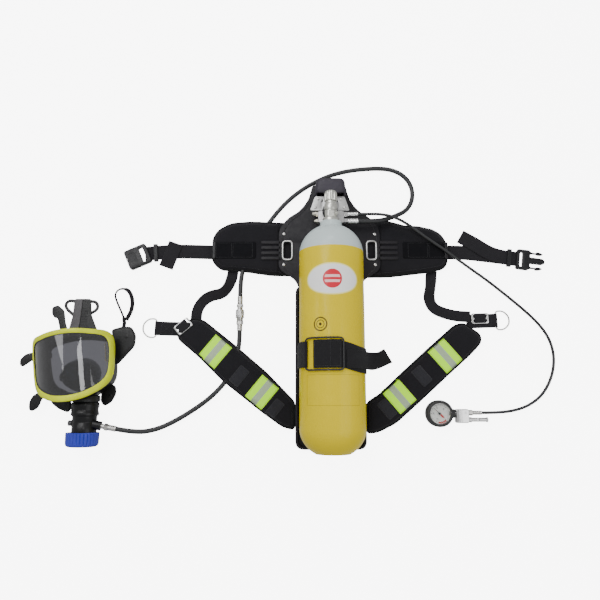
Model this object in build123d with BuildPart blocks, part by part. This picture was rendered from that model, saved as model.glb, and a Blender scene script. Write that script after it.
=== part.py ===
from build123d import *

import os
from math import asin, cos, degrees, pi, radians, sin, tan

os.makedirs("parts", exist_ok=True)

# Self-contained breathing apparatus laid out flat, wearer's side down. Millimetres.
# X runs across the harness, Y along the cylinder towards its valve, Z up from the floor.
# The origin is on the back plate's rear rest face, under the cylinder's axis.

# ---------------------------------------------------------------- driving dimensions
cylinder_diameter = 156.0
cylinder_axis_z = 100.0
cylinder_base_y = -343.0
cylinder_top_y = 213.0
neck_diameter = 55.0
wrap_wall = 6.5
liner_wall = 3.0
neck_bore = 25.0

plate_underside_z = 16.0
plate_top_z = 21.0
plate_wall = 4.0
spine_half_width = 88.0
spine_pocket_half_width = 81.0
spine_start_y = 70.0
spine_end_y = -340.0
wing_half_width = 132.0
guard_height_z = 75.0

hip_pad_top_z = 21.0
hip_pad_under_wing_z = 15.6
shoulder_pad_top_z = 20.0
web_thickness = 2.6
waist_web_z = 2.4
waist_web_width = 38.0
shoulder_web_width = 29.0
cylinder_strap_y = -117.5
cylinder_strap_width = 59.0

thick_hose_diameter = 12.0
thin_hose_diameter = 7.5
hose_tunnel_width = 20.0
hose_tunnel_height = 17.4
reducer_port_x = 72.0
reducer_port_z = 52.0
thick_port_y = 231.0
thin_port_y = 250.0

gauge_diameter = 66.0
gauge_z = 16.0
d_ring_wire = 4.0
d_ring_depth = 34.0
d_ring_half_width = 24.0
mask_tilt = 7.0
visor_top_z = 116.0
visor_radius = 115.0
demand_valve_x = -598.0
demand_valve_z = 45.0
running_clearance = 0.3

# ---------------------------------------------------------------- routes and places
# Thick hose, from the reducer round behind the valve guard to the quick coupler.
upper_hose_route = [
    (reducer_port_x, thick_port_y, reducer_port_z), (100, 231, 52), (136, 236, 42), (172, 253, 26),
    (205, 272, 13), (223, 303, 7), (223, 339, 7), (205, 370, 7), (174, 388, 7), (138, 393, 7),
    (98, 391, 7), (55, 386, 7), (10, 375, 7), (-33, 356, 7), (-72, 332, 7), (-107, 303, 7),
    (-136, 271, 7), (-160, 238, 7), (-183, 206, 7), (-203, 174, 7), (-218, 140, 7), (-227, 104, 9),
    (-230, 72, 12), (-230, 42, 12),
]
# Thick hose, from the coupler under the shoulder pad and up to the demand valve.
lower_hose_route = [
    (-230, -46, 12), (-230, -76, 12), (-235, -110, 8), (-247, -146, 7), (-268, -181, 7),
    (-301, -215, 7), (-344, -246, 7), (-389, -273, 8), (-430, -292, 19), (-474, -298.4, 37.3),
    (-521, -289, 44),
]
# Thin hose, from the reducer over the thick hose and the hip pad and round to the gauge.
gauge_hose_route = [
    (reducer_port_x, thin_port_y, reducer_port_z), (97, 250, 52), (128, 249, 56), (163, 243, 54),
    (200, 227, 44), (234, 204, 34), (266, 182, 31), (299, 160, 29), (334, 137, 19), (372, 113, 8),
    (408, 88, 4), (444, 58, 4), (480, 27, 4), (514, -4, 4), (543, -36, 4), (562, -70, 4),
    (569, -107, 4), (565, -144, 4), (551, -180, 4), (528, -212, 4), (495, -234, 6), (457, -246, 12),
    (415, -251, gauge_z), (373, -251, gauge_z),
]
left_shoulder_web_route = [(-344, -22), (-342, 10), (-326, 34), (-304, 46), (-278, 50), (-262, 66), (-253, 92), (-250, 116)]
right_shoulder_web_route = [(349, -9), (320, -6), (292, 1), (266, 13), (255, 37), (261, 70), (267, 110)]
left_waist_web_route = [(-298, 161), (-400, 164), (-482, 157)]
right_waist_web_route = [(303, 161), (355, 160), (408, 154), (494, 142.5)]
left_tail_route = [(-402, 186), (-414, 152), (-426, 120)]
right_tail_route = [(345, 204), (383, 182), (414, 161), (446, 149), (494, 142.5)]

female_buckle_centre = (-499, 148)
female_buckle_turn = 24.0
male_buckle_centre = (505, 140.5)
male_buckle_turn = -7.6
keeper_places = [(-453.5, 159.5, 4.9), (470, 145.8, -7.6)]
left_d_ring = (-444, -39, 178)
right_d_ring = (426, -19, 2)
coupler_start = (-230, 42, 12)
coupler_run = (0, -88, 0)
ferrule_run = (-35, 7, 5)
mask_centre = (-628, -138)
gauge_centre = (268, -253)


# ---------------------------------------------------------------- helpers
def arc_radii(route):
    """Tangent arc at each inner point: 0.45 of its shorter run over the tangent of half the turn."""
    points = [Vector(*place) for place in route]
    radii = []
    for before, here, after in zip(points, points[1:], points[2:]):
        arriving = here - before
        leaving = after - here
        half_turn = radians(arriving.get_angle(leaving)) / 2
        radii.append(0.45 * min(arriving.length, leaving.length) / tan(half_turn))
    return radii


def hose(route, diameter, name):
    """A round hose along straight runs joined by tangent arcs."""
    radii = arc_radii(route)
    with BuildPart() as tube:
        with BuildLine() as centre_line:
            FilletPolyline(*route, radius=radii)
        with BuildSketch(Plane(origin=centre_line.line @ 0, z_dir=centre_line.line % 0)):
            Circle(diameter / 2)
        sweep(path=centre_line.line)
    length = centre_line.wires()[0].length
    plain_volume = pi * diameter**2 / 4 * length
    print(f"{name}: length {length:.0f} mm, arc radii {[round(radius) for radius in radii]}")
    print(f"{name}: volume over section times length {tube.part.volume / plain_volume:.4f}")
    return tube


def webbing(route, width, bottom_z):
    """A flat woven strap lying level along a route."""
    with BuildPart() as strap:
        with BuildLine() as centre_line:
            FilletPolyline(*route, radius=arc_radii([(x, y, 0) for x, y in route]))
        with BuildSketch(Plane.XY.offset(bottom_z)):
            trace(centre_line.line, width)
        extrude(amount=web_thickness)
    return strap


def slab(outline, corner, bottom_z, top_z):
    """A flat piece with rounded corners."""
    with BuildPart() as piece:
        with BuildSketch(Plane.XY.offset(bottom_z)) as face:
            Polygon(*outline, align=None)
            fillet(face.vertices(), corner)
        extrude(amount=top_z - bottom_z)
    return piece


def both_sides(right_half):
    """A closed outline from its right half, listed from bottom to top."""
    return right_half + [(-x, y) for x, y in reversed(right_half)]


def turned(x, y, z, angle):
    """A level plane at a place, turned about the vertical."""
    heading = (cos(radians(angle)), sin(radians(angle)), 0)
    return Plane((x, y, z), x_dir=heading, z_dir=(0, 0, 1))


def together(*members):
    """Separate pieces that share one name."""
    with BuildPart() as group:
        for member in members:
            add(member)
    return group


def stepped(plane, steps):
    """A turned piece: cylinders and hexagons stacked along a plane's normal, each (kind, radius, length)."""
    with BuildPart() as piece:
        reach = 0
        for kind, radius, length in steps:
            with BuildSketch(plane.offset(reach)):
                if kind == "hex":
                    RegularPolygon(radius, 6)
                else:
                    Circle(radius)
            extrude(amount=length)
            reach += length
    return piece


# ---------------------------------------------------------------- cylinder
# Profiles are drawn with the cylinder's axis as the local X axis.
barrel_plane = Plane((0, 0, cylinder_axis_z), x_dir=(0, 1, 0), z_dir=(1, 0, 0))
barrel_axis = Axis((0, 0, cylinder_axis_z), (0, 1, 0))
shoulder_start_y = 130.0
shoulder_end_y = 200.0
base_start_y = -285.0
valve_stem_y = 188.0


def vessel(radius, base_y, neck_radius, flat_radius):
    """A solid pressure vessel with domed ends and a plain neck."""
    neck_angle = asin(neck_radius / radius)
    base_angle = asin(flat_radius / radius)
    shoulder_length = (shoulder_end_y - shoulder_start_y) / cos(neck_angle)
    base_length = (base_start_y - base_y) / cos(base_angle)
    with BuildPart() as body:
        with BuildSketch(barrel_plane):
            with BuildLine():
                shoulder = EllipticalCenterArc(
                    (shoulder_start_y, 0), shoulder_length, radius,
                    start_angle=degrees(neck_angle), arc_size=90 - degrees(neck_angle),
                )
                base = EllipticalCenterArc(
                    (base_start_y, 0), base_length, radius,
                    start_angle=90, arc_size=90 - degrees(base_angle),
                )
                Line(shoulder @ 1, base @ 0)
                Polyline(
                    base @ 1, (base_y, 0), (cylinder_top_y, 0), (cylinder_top_y, neck_radius), shoulder @ 0,
                )
            make_face()
        revolve(axis=barrel_axis)
    return body


wrap_radius = cylinder_diameter / 2
liner_radius = wrap_radius - wrap_wall
liner_base_y = cylinder_base_y + wrap_wall
outer_vessel = vessel(wrap_radius, cylinder_base_y, neck_diameter / 2, 42)
liner_vessel = vessel(liner_radius, liner_base_y, 20, 38)
air_space = vessel(liner_radius - liner_wall, liner_base_y + liner_wall, neck_bore / 2, 35)

with BuildPart() as cylinder_wrap:
    add(outer_vessel)
    add(liner_vessel, mode=Mode.SUBTRACT)

with BuildPart() as cylinder_liner:
    add(liner_vessel)
    add(air_space, mode=Mode.SUBTRACT)

# ---------------------------------------------------------------- cylinder valve
valve_radius = 16.0
valve_end_y = 266.0
knob_end_y = 294.0
knob_skirt_y = 284.0
outlet_radius = 10.0
outlet_end_z = 66.0
spindle_radius = 4.5

with BuildPart() as valve_body:
    with BuildSketch(barrel_plane):
        with BuildLine():
            Polyline(
                (valve_stem_y, 0), (valve_stem_y, neck_bore / 2), (cylinder_top_y, neck_bore / 2),
                (cylinder_top_y, 20), (cylinder_top_y + 9, 20), (cylinder_top_y + 12, valve_radius),
                (valve_end_y - 6, valve_radius), (valve_end_y - 3, 13.5), (valve_end_y, 13.5),
                (valve_end_y, spindle_radius), (knob_skirt_y - 1, spindle_radius), (knob_skirt_y - 1, 0),
                close=True,
            )
        make_face()
    revolve(axis=barrel_axis)
    with BuildSketch(Plane((0, thin_port_y, outlet_end_z))):
        Circle(outlet_radius)
    extrude(amount=cylinder_axis_z - outlet_end_z)

knob_start_y = valve_end_y + 2 * running_clearance
knob_plane = Plane((0, knob_start_y, cylinder_axis_z), z_dir=(0, 1, 0))
with BuildPart() as valve_knob:
    with BuildSketch(knob_plane):
        Circle(valve_radius)
    extrude(amount=knob_end_y - knob_start_y)
    fillet(valve_knob.faces().sort_by(Axis.Y)[-1].edges(), 5)
    with BuildSketch(knob_plane):
        with PolarLocations(valve_radius + 1, 12):
            Circle(2.2)
    extrude(amount=knob_skirt_y - knob_start_y, mode=Mode.SUBTRACT)
    with BuildSketch(knob_plane):
        Circle(spindle_radius + running_clearance)
    extrude(amount=knob_skirt_y - knob_start_y, mode=Mode.SUBTRACT)

wheel_height = 14.0
wheel_plane = Plane((0, thin_port_y, outlet_end_z))
with BuildPart() as coupling_handwheel:
    with BuildSketch(wheel_plane):
        Circle(20)
    extrude(amount=wheel_height)
    chamfer(coupling_handwheel.edges().filter_by(GeomType.CIRCLE), 1.5)
    with BuildSketch(wheel_plane):
        Circle(outlet_radius + running_clearance)
        with PolarLocations(21.5, 16):
            Circle(2.4)
    extrude(amount=wheel_height, mode=Mode.SUBTRACT)

# ---------------------------------------------------------------- pressure reducer
bracket_underside_z = 54.0
with BuildPart() as reducer_body:
    with BuildSketch(Plane((3, 240, 38))):
        RectangleRounded(66, 32, 6)
    extrude(amount=24)
    with BuildSketch(Plane((0, 268, 34))):
        RectangleRounded(50, 30, 6)
    extrude(amount=bracket_underside_z - 34)
    with BuildSketch(Plane((0, thin_port_y, 60))):
        Circle(8)
    extrude(amount=outlet_end_z - 60)

with BuildPart() as reducer_bracket:
    with BuildSketch(Plane.XY.offset(bracket_underside_z)) as bracket_face:
        Polygon(*both_sides([(51, 257), (38, 296)]), align=None)
        fillet(bracket_face.vertices(), 4)
    extrude(amount=5)
    with BuildSketch(Plane.XY.offset(plate_top_z)):
        with Locations((-37, 265), (37, 265), (-30, 288), (30, 288)):
            Circle(5)
    extrude(amount=bracket_underside_z - plate_top_z)

relief_plane = Plane((-30, thin_port_y, reducer_port_z), z_dir=(-1, 0, 0))
plain_relief_valve = stepped(relief_plane, [("hex", 7.5, 5), ("round", 6, 7), ("round", 4, 3)])
plug_plane = Plane((-30, thick_port_y, reducer_port_z), z_dir=(-1, 0, 0))
side_plug = stepped(plug_plane, [("hex", 7, 6), ("round", 4, 4)])
relief_valve = together(plain_relief_valve, side_plug)
thin_fitting_plane = Plane((36, thin_port_y, reducer_port_z), z_dir=(1, 0, 0))
thin_hose_fitting = stepped(thin_fitting_plane, [("hex", 7, 10), ("round", 5.2, reducer_port_x - 46)])
thick_fitting_plane = Plane((36, thick_port_y, reducer_port_z), z_dir=(1, 0, 0))
thick_hose_fitting = stepped(thick_fitting_plane, [("hex", 9, 10), ("round", 7.4, reducer_port_x - 46)])
reducer_fittings = together(thin_hose_fitting, thick_hose_fitting)

# ---------------------------------------------------------------- back plate
plate_outline = both_sides(
    [(78, 58), (88, 84), (wing_half_width, 114), (wing_half_width, 216), (108, 251), (74, 272), (54, 298), (44, 342)]
)
spine_length = spine_start_y - spine_end_y
spine_middle_y = (spine_start_y + spine_end_y) / 2
rim_places = [(-109, 162), (109, 162)]
finger_width = 8.0
finger_pitch = 14.0

with BuildPart() as back_plate:
    with BuildSketch(Plane((0, spine_middle_y, 0))):
        RectangleRounded(2 * spine_half_width, spine_length, 22)
    extrude(amount=plate_top_z)
    with BuildSketch(Plane((0, spine_middle_y, plate_wall))):
        RectangleRounded(2 * spine_pocket_half_width, spine_length - 12, 16)
    extrude(amount=plate_top_z, mode=Mode.SUBTRACT)
    with BuildSketch(Plane((0, spine_middle_y, plate_wall / 2))):
        with GridLocations(0, 70, 1, 5):
            Rectangle(2 * spine_pocket_half_width + 2, 4)
    extrude(amount=10)
    with BuildSketch(Plane.XY.offset(plate_underside_z)) as wing_face:
        Polygon(*plate_outline, align=None)
        fillet(wing_face.vertices(), 10)
    extrude(amount=plate_top_z - plate_underside_z)
    with BuildSketch(Plane.XY.offset(plate_underside_z)):
        with Locations(*rim_places):
            RectangleRounded(16, 41, 7)
    extrude(amount=10, mode=Mode.SUBTRACT)
    for side in (-1, 1):
        with BuildSketch(Plane((side * 128, 162, plate_top_z - 1))):
            Rectangle(7, 3 * finger_pitch + finger_width)
        extrude(amount=3.6)
        with BuildSketch(Plane((side * 152, 162, plate_top_z + 0.3))):
            with GridLocations(0, finger_pitch, 1, 4):
                SlotOverall(50, finger_width)
        extrude(amount=2.3)

with BuildPart() as valve_guard:
    with BuildSketch(Plane((2, 321, plate_top_z))):
        RectangleRounded(82, 42, 14)
    extrude(amount=guard_height_z - plate_top_z)
    fillet(valve_guard.faces().sort_by(Axis.Z)[-1].edges(), 6)
    with BuildSketch(Plane((2, 314, plate_top_z))):
        RectangleRounded(68, 44, 8)
    extrude(amount=guard_height_z - plate_top_z - 6, mode=Mode.SUBTRACT)

with BuildPart() as slot_rims:
    with BuildSketch(Plane.XY.offset(plate_top_z)):
        with Locations(*rim_places):
            RectangleRounded(29, 54, 11)
            RectangleRounded(20, 45, 7, mode=Mode.SUBTRACT)
    extrude(amount=4)

saddle_y = (-245.0, 30.0)
with BuildPart() as cradle_saddles:
    for middle_y in saddle_y:
        with BuildSketch(Plane((0, middle_y, plate_wall))):
            RectangleRounded(116, 26, 4)
        extrude(amount=34)
    with BuildSketch(Plane((0, 80, cylinder_axis_z), z_dir=(0, -1, 0))):
        Circle(wrap_radius + 0.1)
    extrude(amount=400, mode=Mode.SUBTRACT)

with BuildPart() as plate_screws:
    with BuildSketch(Plane.XY.offset(bracket_underside_z + 5)):
        with Locations((-37, 265), (37, 265), (-30, 288), (30, 288)):
            Circle(3.6)
    extrude(amount=2.4)
    with BuildSketch(Plane.XY.offset(plate_top_z)):
        with Locations((-118, 124), (118, 124), (-118, 206), (118, 206)):
            Circle(4)
    extrude(amount=2.2)
    fillet(plate_screws.faces().filter_by(Axis.Z).group_by(Axis.Z)[-1].edges(), 0.8)

# ---------------------------------------------------------------- cylinder strap
strap_plane = Plane((0, cylinder_strap_y, cylinder_axis_z), x_dir=(1, 0, 0), z_dir=(0, -1, 0))
strap_inner = wrap_radius + running_clearance
strap_outer = spine_pocket_half_width
sleeve_outer = strap_outer + 3
with BuildPart() as cylinder_strap:
    with BuildSketch(strap_plane):
        Circle(strap_outer)
        Circle(strap_inner, mode=Mode.SUBTRACT)
        with Locations((0, -50)):
            Rectangle(200, 100, mode=Mode.SUBTRACT)
        leg_width = strap_outer - strap_inner
        with Locations((strap_inner + leg_width / 2, -44), (-strap_inner - leg_width / 2, -44)):
            Rectangle(leg_width, 88)
    extrude(amount=cylinder_strap_width / 2, both=True)
    with BuildSketch(strap_plane):
        Circle(sleeve_outer)
        Circle(strap_outer, mode=Mode.SUBTRACT)
        with Locations((-14, 60)):
            Rectangle(62, 100, mode=Mode.INTERSECT)
    extrude(amount=32, both=True)

with BuildPart() as strap_ring:
    with BuildSketch(strap_plane):
        Circle(sleeve_outer + 1.2)
        Circle(strap_outer + 0.2, mode=Mode.SUBTRACT)
    extrude(amount=60, both=True)
    with BuildSketch(Plane((-21, cylinder_strap_y, cylinder_axis_z))):
        RectangleRounded(90, 77, 9)
        RectangleRounded(81, 68, 6, mode=Mode.SUBTRACT)
    extrude(amount=100, mode=Mode.INTERSECT)

tail_radius = (strap_outer + sleeve_outer) / 2
tail_leave = radians(36)
with BuildPart() as strap_tail:
    with BuildSketch(Plane((0, -129, cylinder_axis_z), x_dir=(1, 0, 0), z_dir=(0, -1, 0))):
        with BuildLine() as tail_line:
            tail_arc = CenterArc((0, 0), tail_radius, 70, -34)
            FilletPolyline(
                tail_arc @ 1,
                (tail_radius * cos(tail_leave) + 16, tail_radius * sin(tail_leave) - 22),
                (104, 14), (132, 22), radius=[18, 18],
            )
        trace(tail_line.line, web_thickness)
    extrude(amount=21, both=True)

# ---------------------------------------------------------------- hip belt
left_hip_outline = [
    (-88.5, 96), (-150, 97), (-218, 107), (-284, 112), (-306, 136),
    (-305, 200), (-290, 222), (-256, 239), (-205, 243), (-88.5, 238),
]
right_hip_outline = [
    (88.5, 92), (155, 93), (255, 105), (296, 114), (308, 130),
    (308, 180), (298, 204), (276, 221), (232, 231), (203, 231), (146, 247), (88.5, 240),
]


def hip_pad(outline, side):
    """Foam pad: full thickness outside the back plate's wing, thinner where the wing covers it."""
    with BuildPart() as pad:
        with BuildSketch() as base:
            Polygon(*outline, align=None)
            fillet(base.vertices(), 8)
        extrude(amount=hip_pad_under_wing_z)
        with BuildSketch(Plane.XY.offset(hip_pad_under_wing_z)):
            add(base.sketch)
            with Locations((side * (wing_half_width + 1.5 - 100), 160)):
                Rectangle(200, 400, mode=Mode.SUBTRACT)
        extrude(amount=hip_pad_top_z - hip_pad_under_wing_z)
    return pad


def tunnel(route):
    """The room that the thick hose takes where it runs beneath a pad."""
    with BuildPart() as room:
        with BuildLine() as centre_line:
            FilletPolyline(*[(x, y) for x, y, z in route], radius=arc_radii([(x, y, 0) for x, y, z in route]))
        with BuildSketch():
            trace(centre_line.line, hose_tunnel_width)
        extrude(amount=hose_tunnel_height)
    return room


plain_left_hip_pad = hip_pad(left_hip_outline, -1)
with BuildPart() as hip_pad_left:
    add(plain_left_hip_pad)
    add(tunnel(upper_hose_route[14:23]), mode=Mode.SUBTRACT)
hip_pad_right = hip_pad(right_hip_outline, 1)

hip_panels = together(
    slab([(-190, 186), (-190, 138), (-298, 141), (-298, 185)], 4, hip_pad_top_z, hip_pad_top_z + 2),
    slab([(190, 186), (190, 138), (302, 141), (302, 180)], 4, hip_pad_top_z, hip_pad_top_z + 2),
)
waist_webs = together(
    webbing(left_waist_web_route, waist_web_width, waist_web_z),
    webbing(right_waist_web_route, waist_web_width, waist_web_z),
)
waist_tails = together(
    webbing(left_tail_route, waist_web_width, waist_web_z + web_thickness),
    webbing(right_tail_route, waist_web_width, waist_web_z + web_thickness),
)


def keeper(place):
    """Moulded loop that holds the doubled webbing."""
    with BuildPart() as loop:
        with BuildSketch(turned(*place[:2], 0.3, place[2])):
            RectangleRounded(10, 47, 3)
        extrude(amount=11)
        with BuildSketch(turned(*place[:2], 2.1, place[2])):
            Rectangle(20, 40.6)
        extrude(amount=6.2, mode=Mode.SUBTRACT)
    return loop


web_keepers = together(*[keeper(place) for place in keeper_places])

# Female half: the socket's mouth faces away from the belt.
buckle_height = 16.0
with BuildPart() as buckle_female:
    female_plane = turned(*female_buckle_centre, 0.3, female_buckle_turn)
    with BuildSketch(female_plane):
        RectangleRounded(60, 53, 7)
    extrude(amount=buckle_height)
    fillet(buckle_female.faces().sort_by(Axis.Z)[-1].edges(), 2)
    with BuildSketch(female_plane.offset(3.5)):
        with Locations((-17, 0)):
            Rectangle(34, 44)
        with Locations((-8, 0)):
            Rectangle(12, 60)
    extrude(amount=9, mode=Mode.SUBTRACT)
    with BuildSketch(female_plane):
        with Locations((14, 0)):
            RectangleRounded(12, 41, 3)
    extrude(amount=buckle_height, mode=Mode.SUBTRACT)
    with BuildSketch(female_plane.offset(1.8)):
        with Locations((24, 0)):
            Rectangle(28, 46)
    extrude(amount=7, mode=Mode.SUBTRACT)

# Male half: a grooved centre tongue between two barbed arms.
male_plane = turned(*male_buckle_centre, 0.3, male_buckle_turn)
male_body_end = 17.0
arm_root = 19.5
arm_offset = 19.5
with BuildPart() as buckle_male:
    with BuildSketch(male_plane):
        RectangleRounded(2 * male_body_end, 53, 6)
    extrude(amount=14)
    fillet(buckle_male.faces().sort_by(Axis.Z)[-1].edges(), 2)
    with BuildSketch(male_plane):
        with Locations((-5, 0)):
            RectangleRounded(10, 41, 3)
    extrude(amount=14, mode=Mode.SUBTRACT)
    with BuildSketch(male_plane.offset(1.8)):
        with Locations((-12, 0)):
            Rectangle(16, 41)
    extrude(amount=6, mode=Mode.SUBTRACT)
    with BuildSketch(male_plane.offset(4)):
        with Locations((male_body_end + 18, 0)):
            RectangleRounded(42, 17, 5)
    extrude(amount=7)


def arm(side):
    """Springy arm with an arrow-shaped barb."""
    with BuildPart() as blade:
        with BuildSketch(male_plane.offset(4)):
            with Locations((arm_root, side * arm_offset)):
                Circle(2.2)
            with Locations((arm_root + 10, side * arm_offset)):
                Rectangle(20, 3)
            with Locations((arm_root + 22, side * (arm_offset + 0.5))):
                Ellipse(9, 4.2)
        extrude(amount=7)
    return blade


arm_upper = arm(1)
arm_lower = arm(-1)

# ---------------------------------------------------------------- shoulder straps
left_shoulder_outline = [
    (-88.5, -224), (-161, -151), (-239, -85), (-322, -19), (-350, -12), (-391, -44),
    (-387, -68), (-334, -111), (-269, -174), (-171, -250), (-120, -286), (-88.5, -294),
]
right_shoulder_outline = [
    (88.5, -226), (126, -203), (168, -163), (244, -95), (318, -31), (342, -25), (385, -56),
    (384, -78), (354, -108), (298, -157), (222, -225), (162, -277), (118, -299), (88.5, -303),
]
plain_left_shoulder_pad = slab(left_shoulder_outline, 9, 0, shoulder_pad_top_z)
with BuildPart() as shoulder_pad_left:
    add(plain_left_shoulder_pad)
    add(tunnel(lower_hose_route[1:7]), mode=Mode.SUBTRACT)
shoulder_pad_right = slab(right_shoulder_outline, 9, 0, shoulder_pad_top_z)
shoulder_webs = together(
    webbing(left_shoulder_web_route, shoulder_web_width, 0.2),
    webbing(right_shoulder_web_route, shoulder_web_width, 0.2),
)


def adjuster(x, y, z, angle):
    """Strap adjuster with two slots."""
    with BuildPart() as frame:
        with BuildSketch(turned(x, y, z, angle)):
            RectangleRounded(44, 27, 5)
            with Locations((0, 6), (0, -6)):
                RectangleRounded(34, 7, 2, mode=Mode.SUBTRACT)
        extrude(amount=3.4)
    return frame


adjusters = together(
    adjuster(-372, -36, shoulder_pad_top_z, 40),
    adjuster(385, -14, 0.3 + 2 * web_thickness, 2),
)

ring_bar_z = 4.9


def d_ring(place):
    """Welded D-shaped ring of round steel wire, its straight bar through the tab's loop."""
    plane = turned(place[0], place[1], ring_bar_z, place[2])
    half = d_ring_half_width
    depth = d_ring_depth
    corners = [(0, -half), (0, half), (depth - 14, half), (depth, half - 14), (depth, 14 - half), (depth - 14, -half)]
    places = [plane.from_local_coords(Vector(x, y, 0)) for x, y in corners]
    with BuildPart() as ring:
        with BuildLine() as wire:
            FilletPolyline(*places, radius=[5, 5, 12, 12, 12, 12], close=True)
        with BuildSketch(Plane(origin=wire.line @ 0, z_dir=wire.line % 0)):
            Circle(d_ring_wire / 2)
        sweep(path=wire.line)
    return ring


def d_ring_tab(place, length):
    """Folded webbing tab with a sewn loop round the ring's bar."""
    level = turned(place[0], place[1], ring_bar_z, place[2])
    section = Plane(level.origin, x_dir=level.x_dir, z_dir=-level.y_dir)
    with BuildPart() as tab:
        with BuildSketch(section):
            Circle(ring_bar_z - 0.3)
            with Locations((-length / 2, 0.3 - ring_bar_z + web_thickness)):
                Rectangle(length, 2 * web_thickness)
            Circle(d_ring_wire / 2 + running_clearance, mode=Mode.SUBTRACT)
        extrude(amount=18, both=True)
    return tab


d_ring_left = d_ring(left_d_ring)
d_ring_right = d_ring(right_d_ring)
d_ring_tabs = together(d_ring_tab(left_d_ring, 66), d_ring_tab(right_d_ring, 75))

# ---------------------------------------------------------------- hoses and quick coupler
thick_hose_upper = hose(upper_hose_route, thick_hose_diameter, "thick_hose_upper")
thick_hose_lower = hose(lower_hose_route, thick_hose_diameter, "thick_hose_lower")
gauge_hose = hose(gauge_hose_route, thin_hose_diameter, "gauge_hose")

coupler_plane = Plane(origin=coupler_start, z_dir=coupler_run)
nose_radius = 5.0
socket_radius = 8.2
coupler_length = Vector(*coupler_run).length
coupler_plug = stepped(coupler_plane, [("round", 7, 20), ("hex", 8.5, 8), ("round", 7, 5), ("round", nose_radius, 13)])
socket_start = 33.3
plain_socket = stepped(
    coupler_plane.offset(socket_start),
    [("round", socket_radius, 30), ("hex", 9, 9), ("round", 7, coupler_length - socket_start - 39)],
)
with BuildPart() as coupler_socket:
    add(plain_socket)
    with BuildSketch(coupler_plane.offset(socket_start)):
        Circle(nose_radius + 0.1)
    extrude(amount=14, mode=Mode.SUBTRACT)

with BuildPart() as coupler_sleeve:
    with BuildSketch(coupler_plane.offset(socket_start + 2)):
        Circle(11)
    extrude(amount=20)
    fillet(coupler_sleeve.edges().filter_by(GeomType.CIRCLE), 1.2)
    with BuildSketch(coupler_plane.offset(socket_start + 2)):
        Circle(socket_radius + running_clearance)
    extrude(amount=20, mode=Mode.SUBTRACT)

ferrule_plane = Plane(origin=lower_hose_route[-1], z_dir=ferrule_run)
valve_ferrule = stepped(ferrule_plane, [("round", 7.2, 20), ("hex", 8.6, 8), ("round", 6, 8)])

# ---------------------------------------------------------------- pressure gauge and whistle
gauge_x, gauge_y = gauge_centre
gauge_plane = Plane((gauge_x, gauge_y, 0))
dial_z = 20.2
with BuildPart() as gauge_boot:
    with BuildSketch(gauge_plane.offset(0.2)):
        Circle(gauge_diameter / 2)
    extrude(amount=32)
    fillet(gauge_boot.edges().filter_by(GeomType.CIRCLE), 4)
    with BuildSketch(Plane((gauge_x + 25, gauge_y, gauge_z), z_dir=(1, 0, 0))):
        Circle(11)
    extrude(amount=14)
    with BuildSketch(gauge_plane.offset(4)):
        Circle(27.2)
    extrude(amount=25.4, mode=Mode.SUBTRACT)
    with BuildSketch(gauge_plane.offset(29)):
        Circle(25)
    extrude(amount=10, mode=Mode.SUBTRACT)
    with BuildSketch(Plane((gauge_x + 25, gauge_y, gauge_z), z_dir=(1, 0, 0))):
        Circle(5.7)
    extrude(amount=20, mode=Mode.SUBTRACT)

with BuildPart() as gauge_case:
    with BuildSketch(gauge_plane.offset(4.2)):
        Circle(27)
    extrude(amount=24.8)
    with BuildSketch(gauge_plane.offset(dial_z)):
        Circle(24.7)
    extrude(amount=20, mode=Mode.SUBTRACT)

with BuildPart() as gauge_dial:
    with BuildSketch(gauge_plane.offset(dial_z)):
        Circle(24.5)
        Circle(1.5, mode=Mode.SUBTRACT)
    extrude(amount=1.2)

with BuildPart() as gauge_needle:
    needle_plane = turned(gauge_x, gauge_y, dial_z + 2.8, 135)
    with BuildSketch(needle_plane):
        Circle(3.2)
        Polygon((-8, 1.4), (-8, -1.4), (19, -0.5), (19, 0.5), align=None)
    extrude(amount=0.9)
    with BuildSketch(needle_plane.offset(-2.2)):
        Circle(1)
    extrude(amount=2.2)

with BuildPart() as gauge_lens:
    with BuildSketch(gauge_plane.offset(26.6)):
        Circle(24.7)
    extrude(amount=2)

block_start_x = 308.3
block_end_x = 340.0
with BuildPart() as whistle_block:
    with BuildSketch(Plane(((block_start_x + block_end_x) / 2, -259, 6))):
        RectangleRounded(block_end_x - block_start_x, 34, 5)
    extrude(amount=20)
    fillet(whistle_block.faces().sort_by(Axis.Z)[-1].edges(), 2)
    with BuildSketch(Plane((gauge_x + 27.2, gauge_y, gauge_z), z_dir=(1, 0, 0))):
        Circle(5.4)
    extrude(amount=20)

gauge_ferrule_plane = Plane((block_end_x, gauge_hose_route[-1][1], gauge_z), z_dir=(1, 0, 0))
gauge_ferrule = stepped(
    gauge_ferrule_plane, [("hex", 7, 11), ("round", 5.2, gauge_hose_route[-1][0] - block_end_x - 11)]
)
hose_ferrules = together(valve_ferrule, gauge_ferrule)
whistle_plane = Plane((block_end_x, -268, gauge_z), z_dir=(1, 0, 0))
plain_whistle = stepped(whistle_plane, [("round", 6.4, 8), ("round", 5, 36), ("round", 6, 4)])
with BuildPart() as whistle:
    add(plain_whistle)
    with BuildSketch(whistle_plane.offset(30)):
        Circle(3.4)
    extrude(amount=30, mode=Mode.SUBTRACT)
    with BuildSketch(Plane((block_end_x + 24, -268, gauge_z))):
        Rectangle(5, 7)
    extrude(amount=10, mode=Mode.SUBTRACT)

# ---------------------------------------------------------------- face mask
mask_plane = turned(*mask_centre, 0, mask_tilt)
visor_section = Plane(mask_plane.origin, x_dir=mask_plane.x_dir, z_dir=-mask_plane.y_dir)
visor_centre_z = visor_top_z - visor_radius
frame_thickness = 6.2
lens_thickness = 3.0


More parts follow.
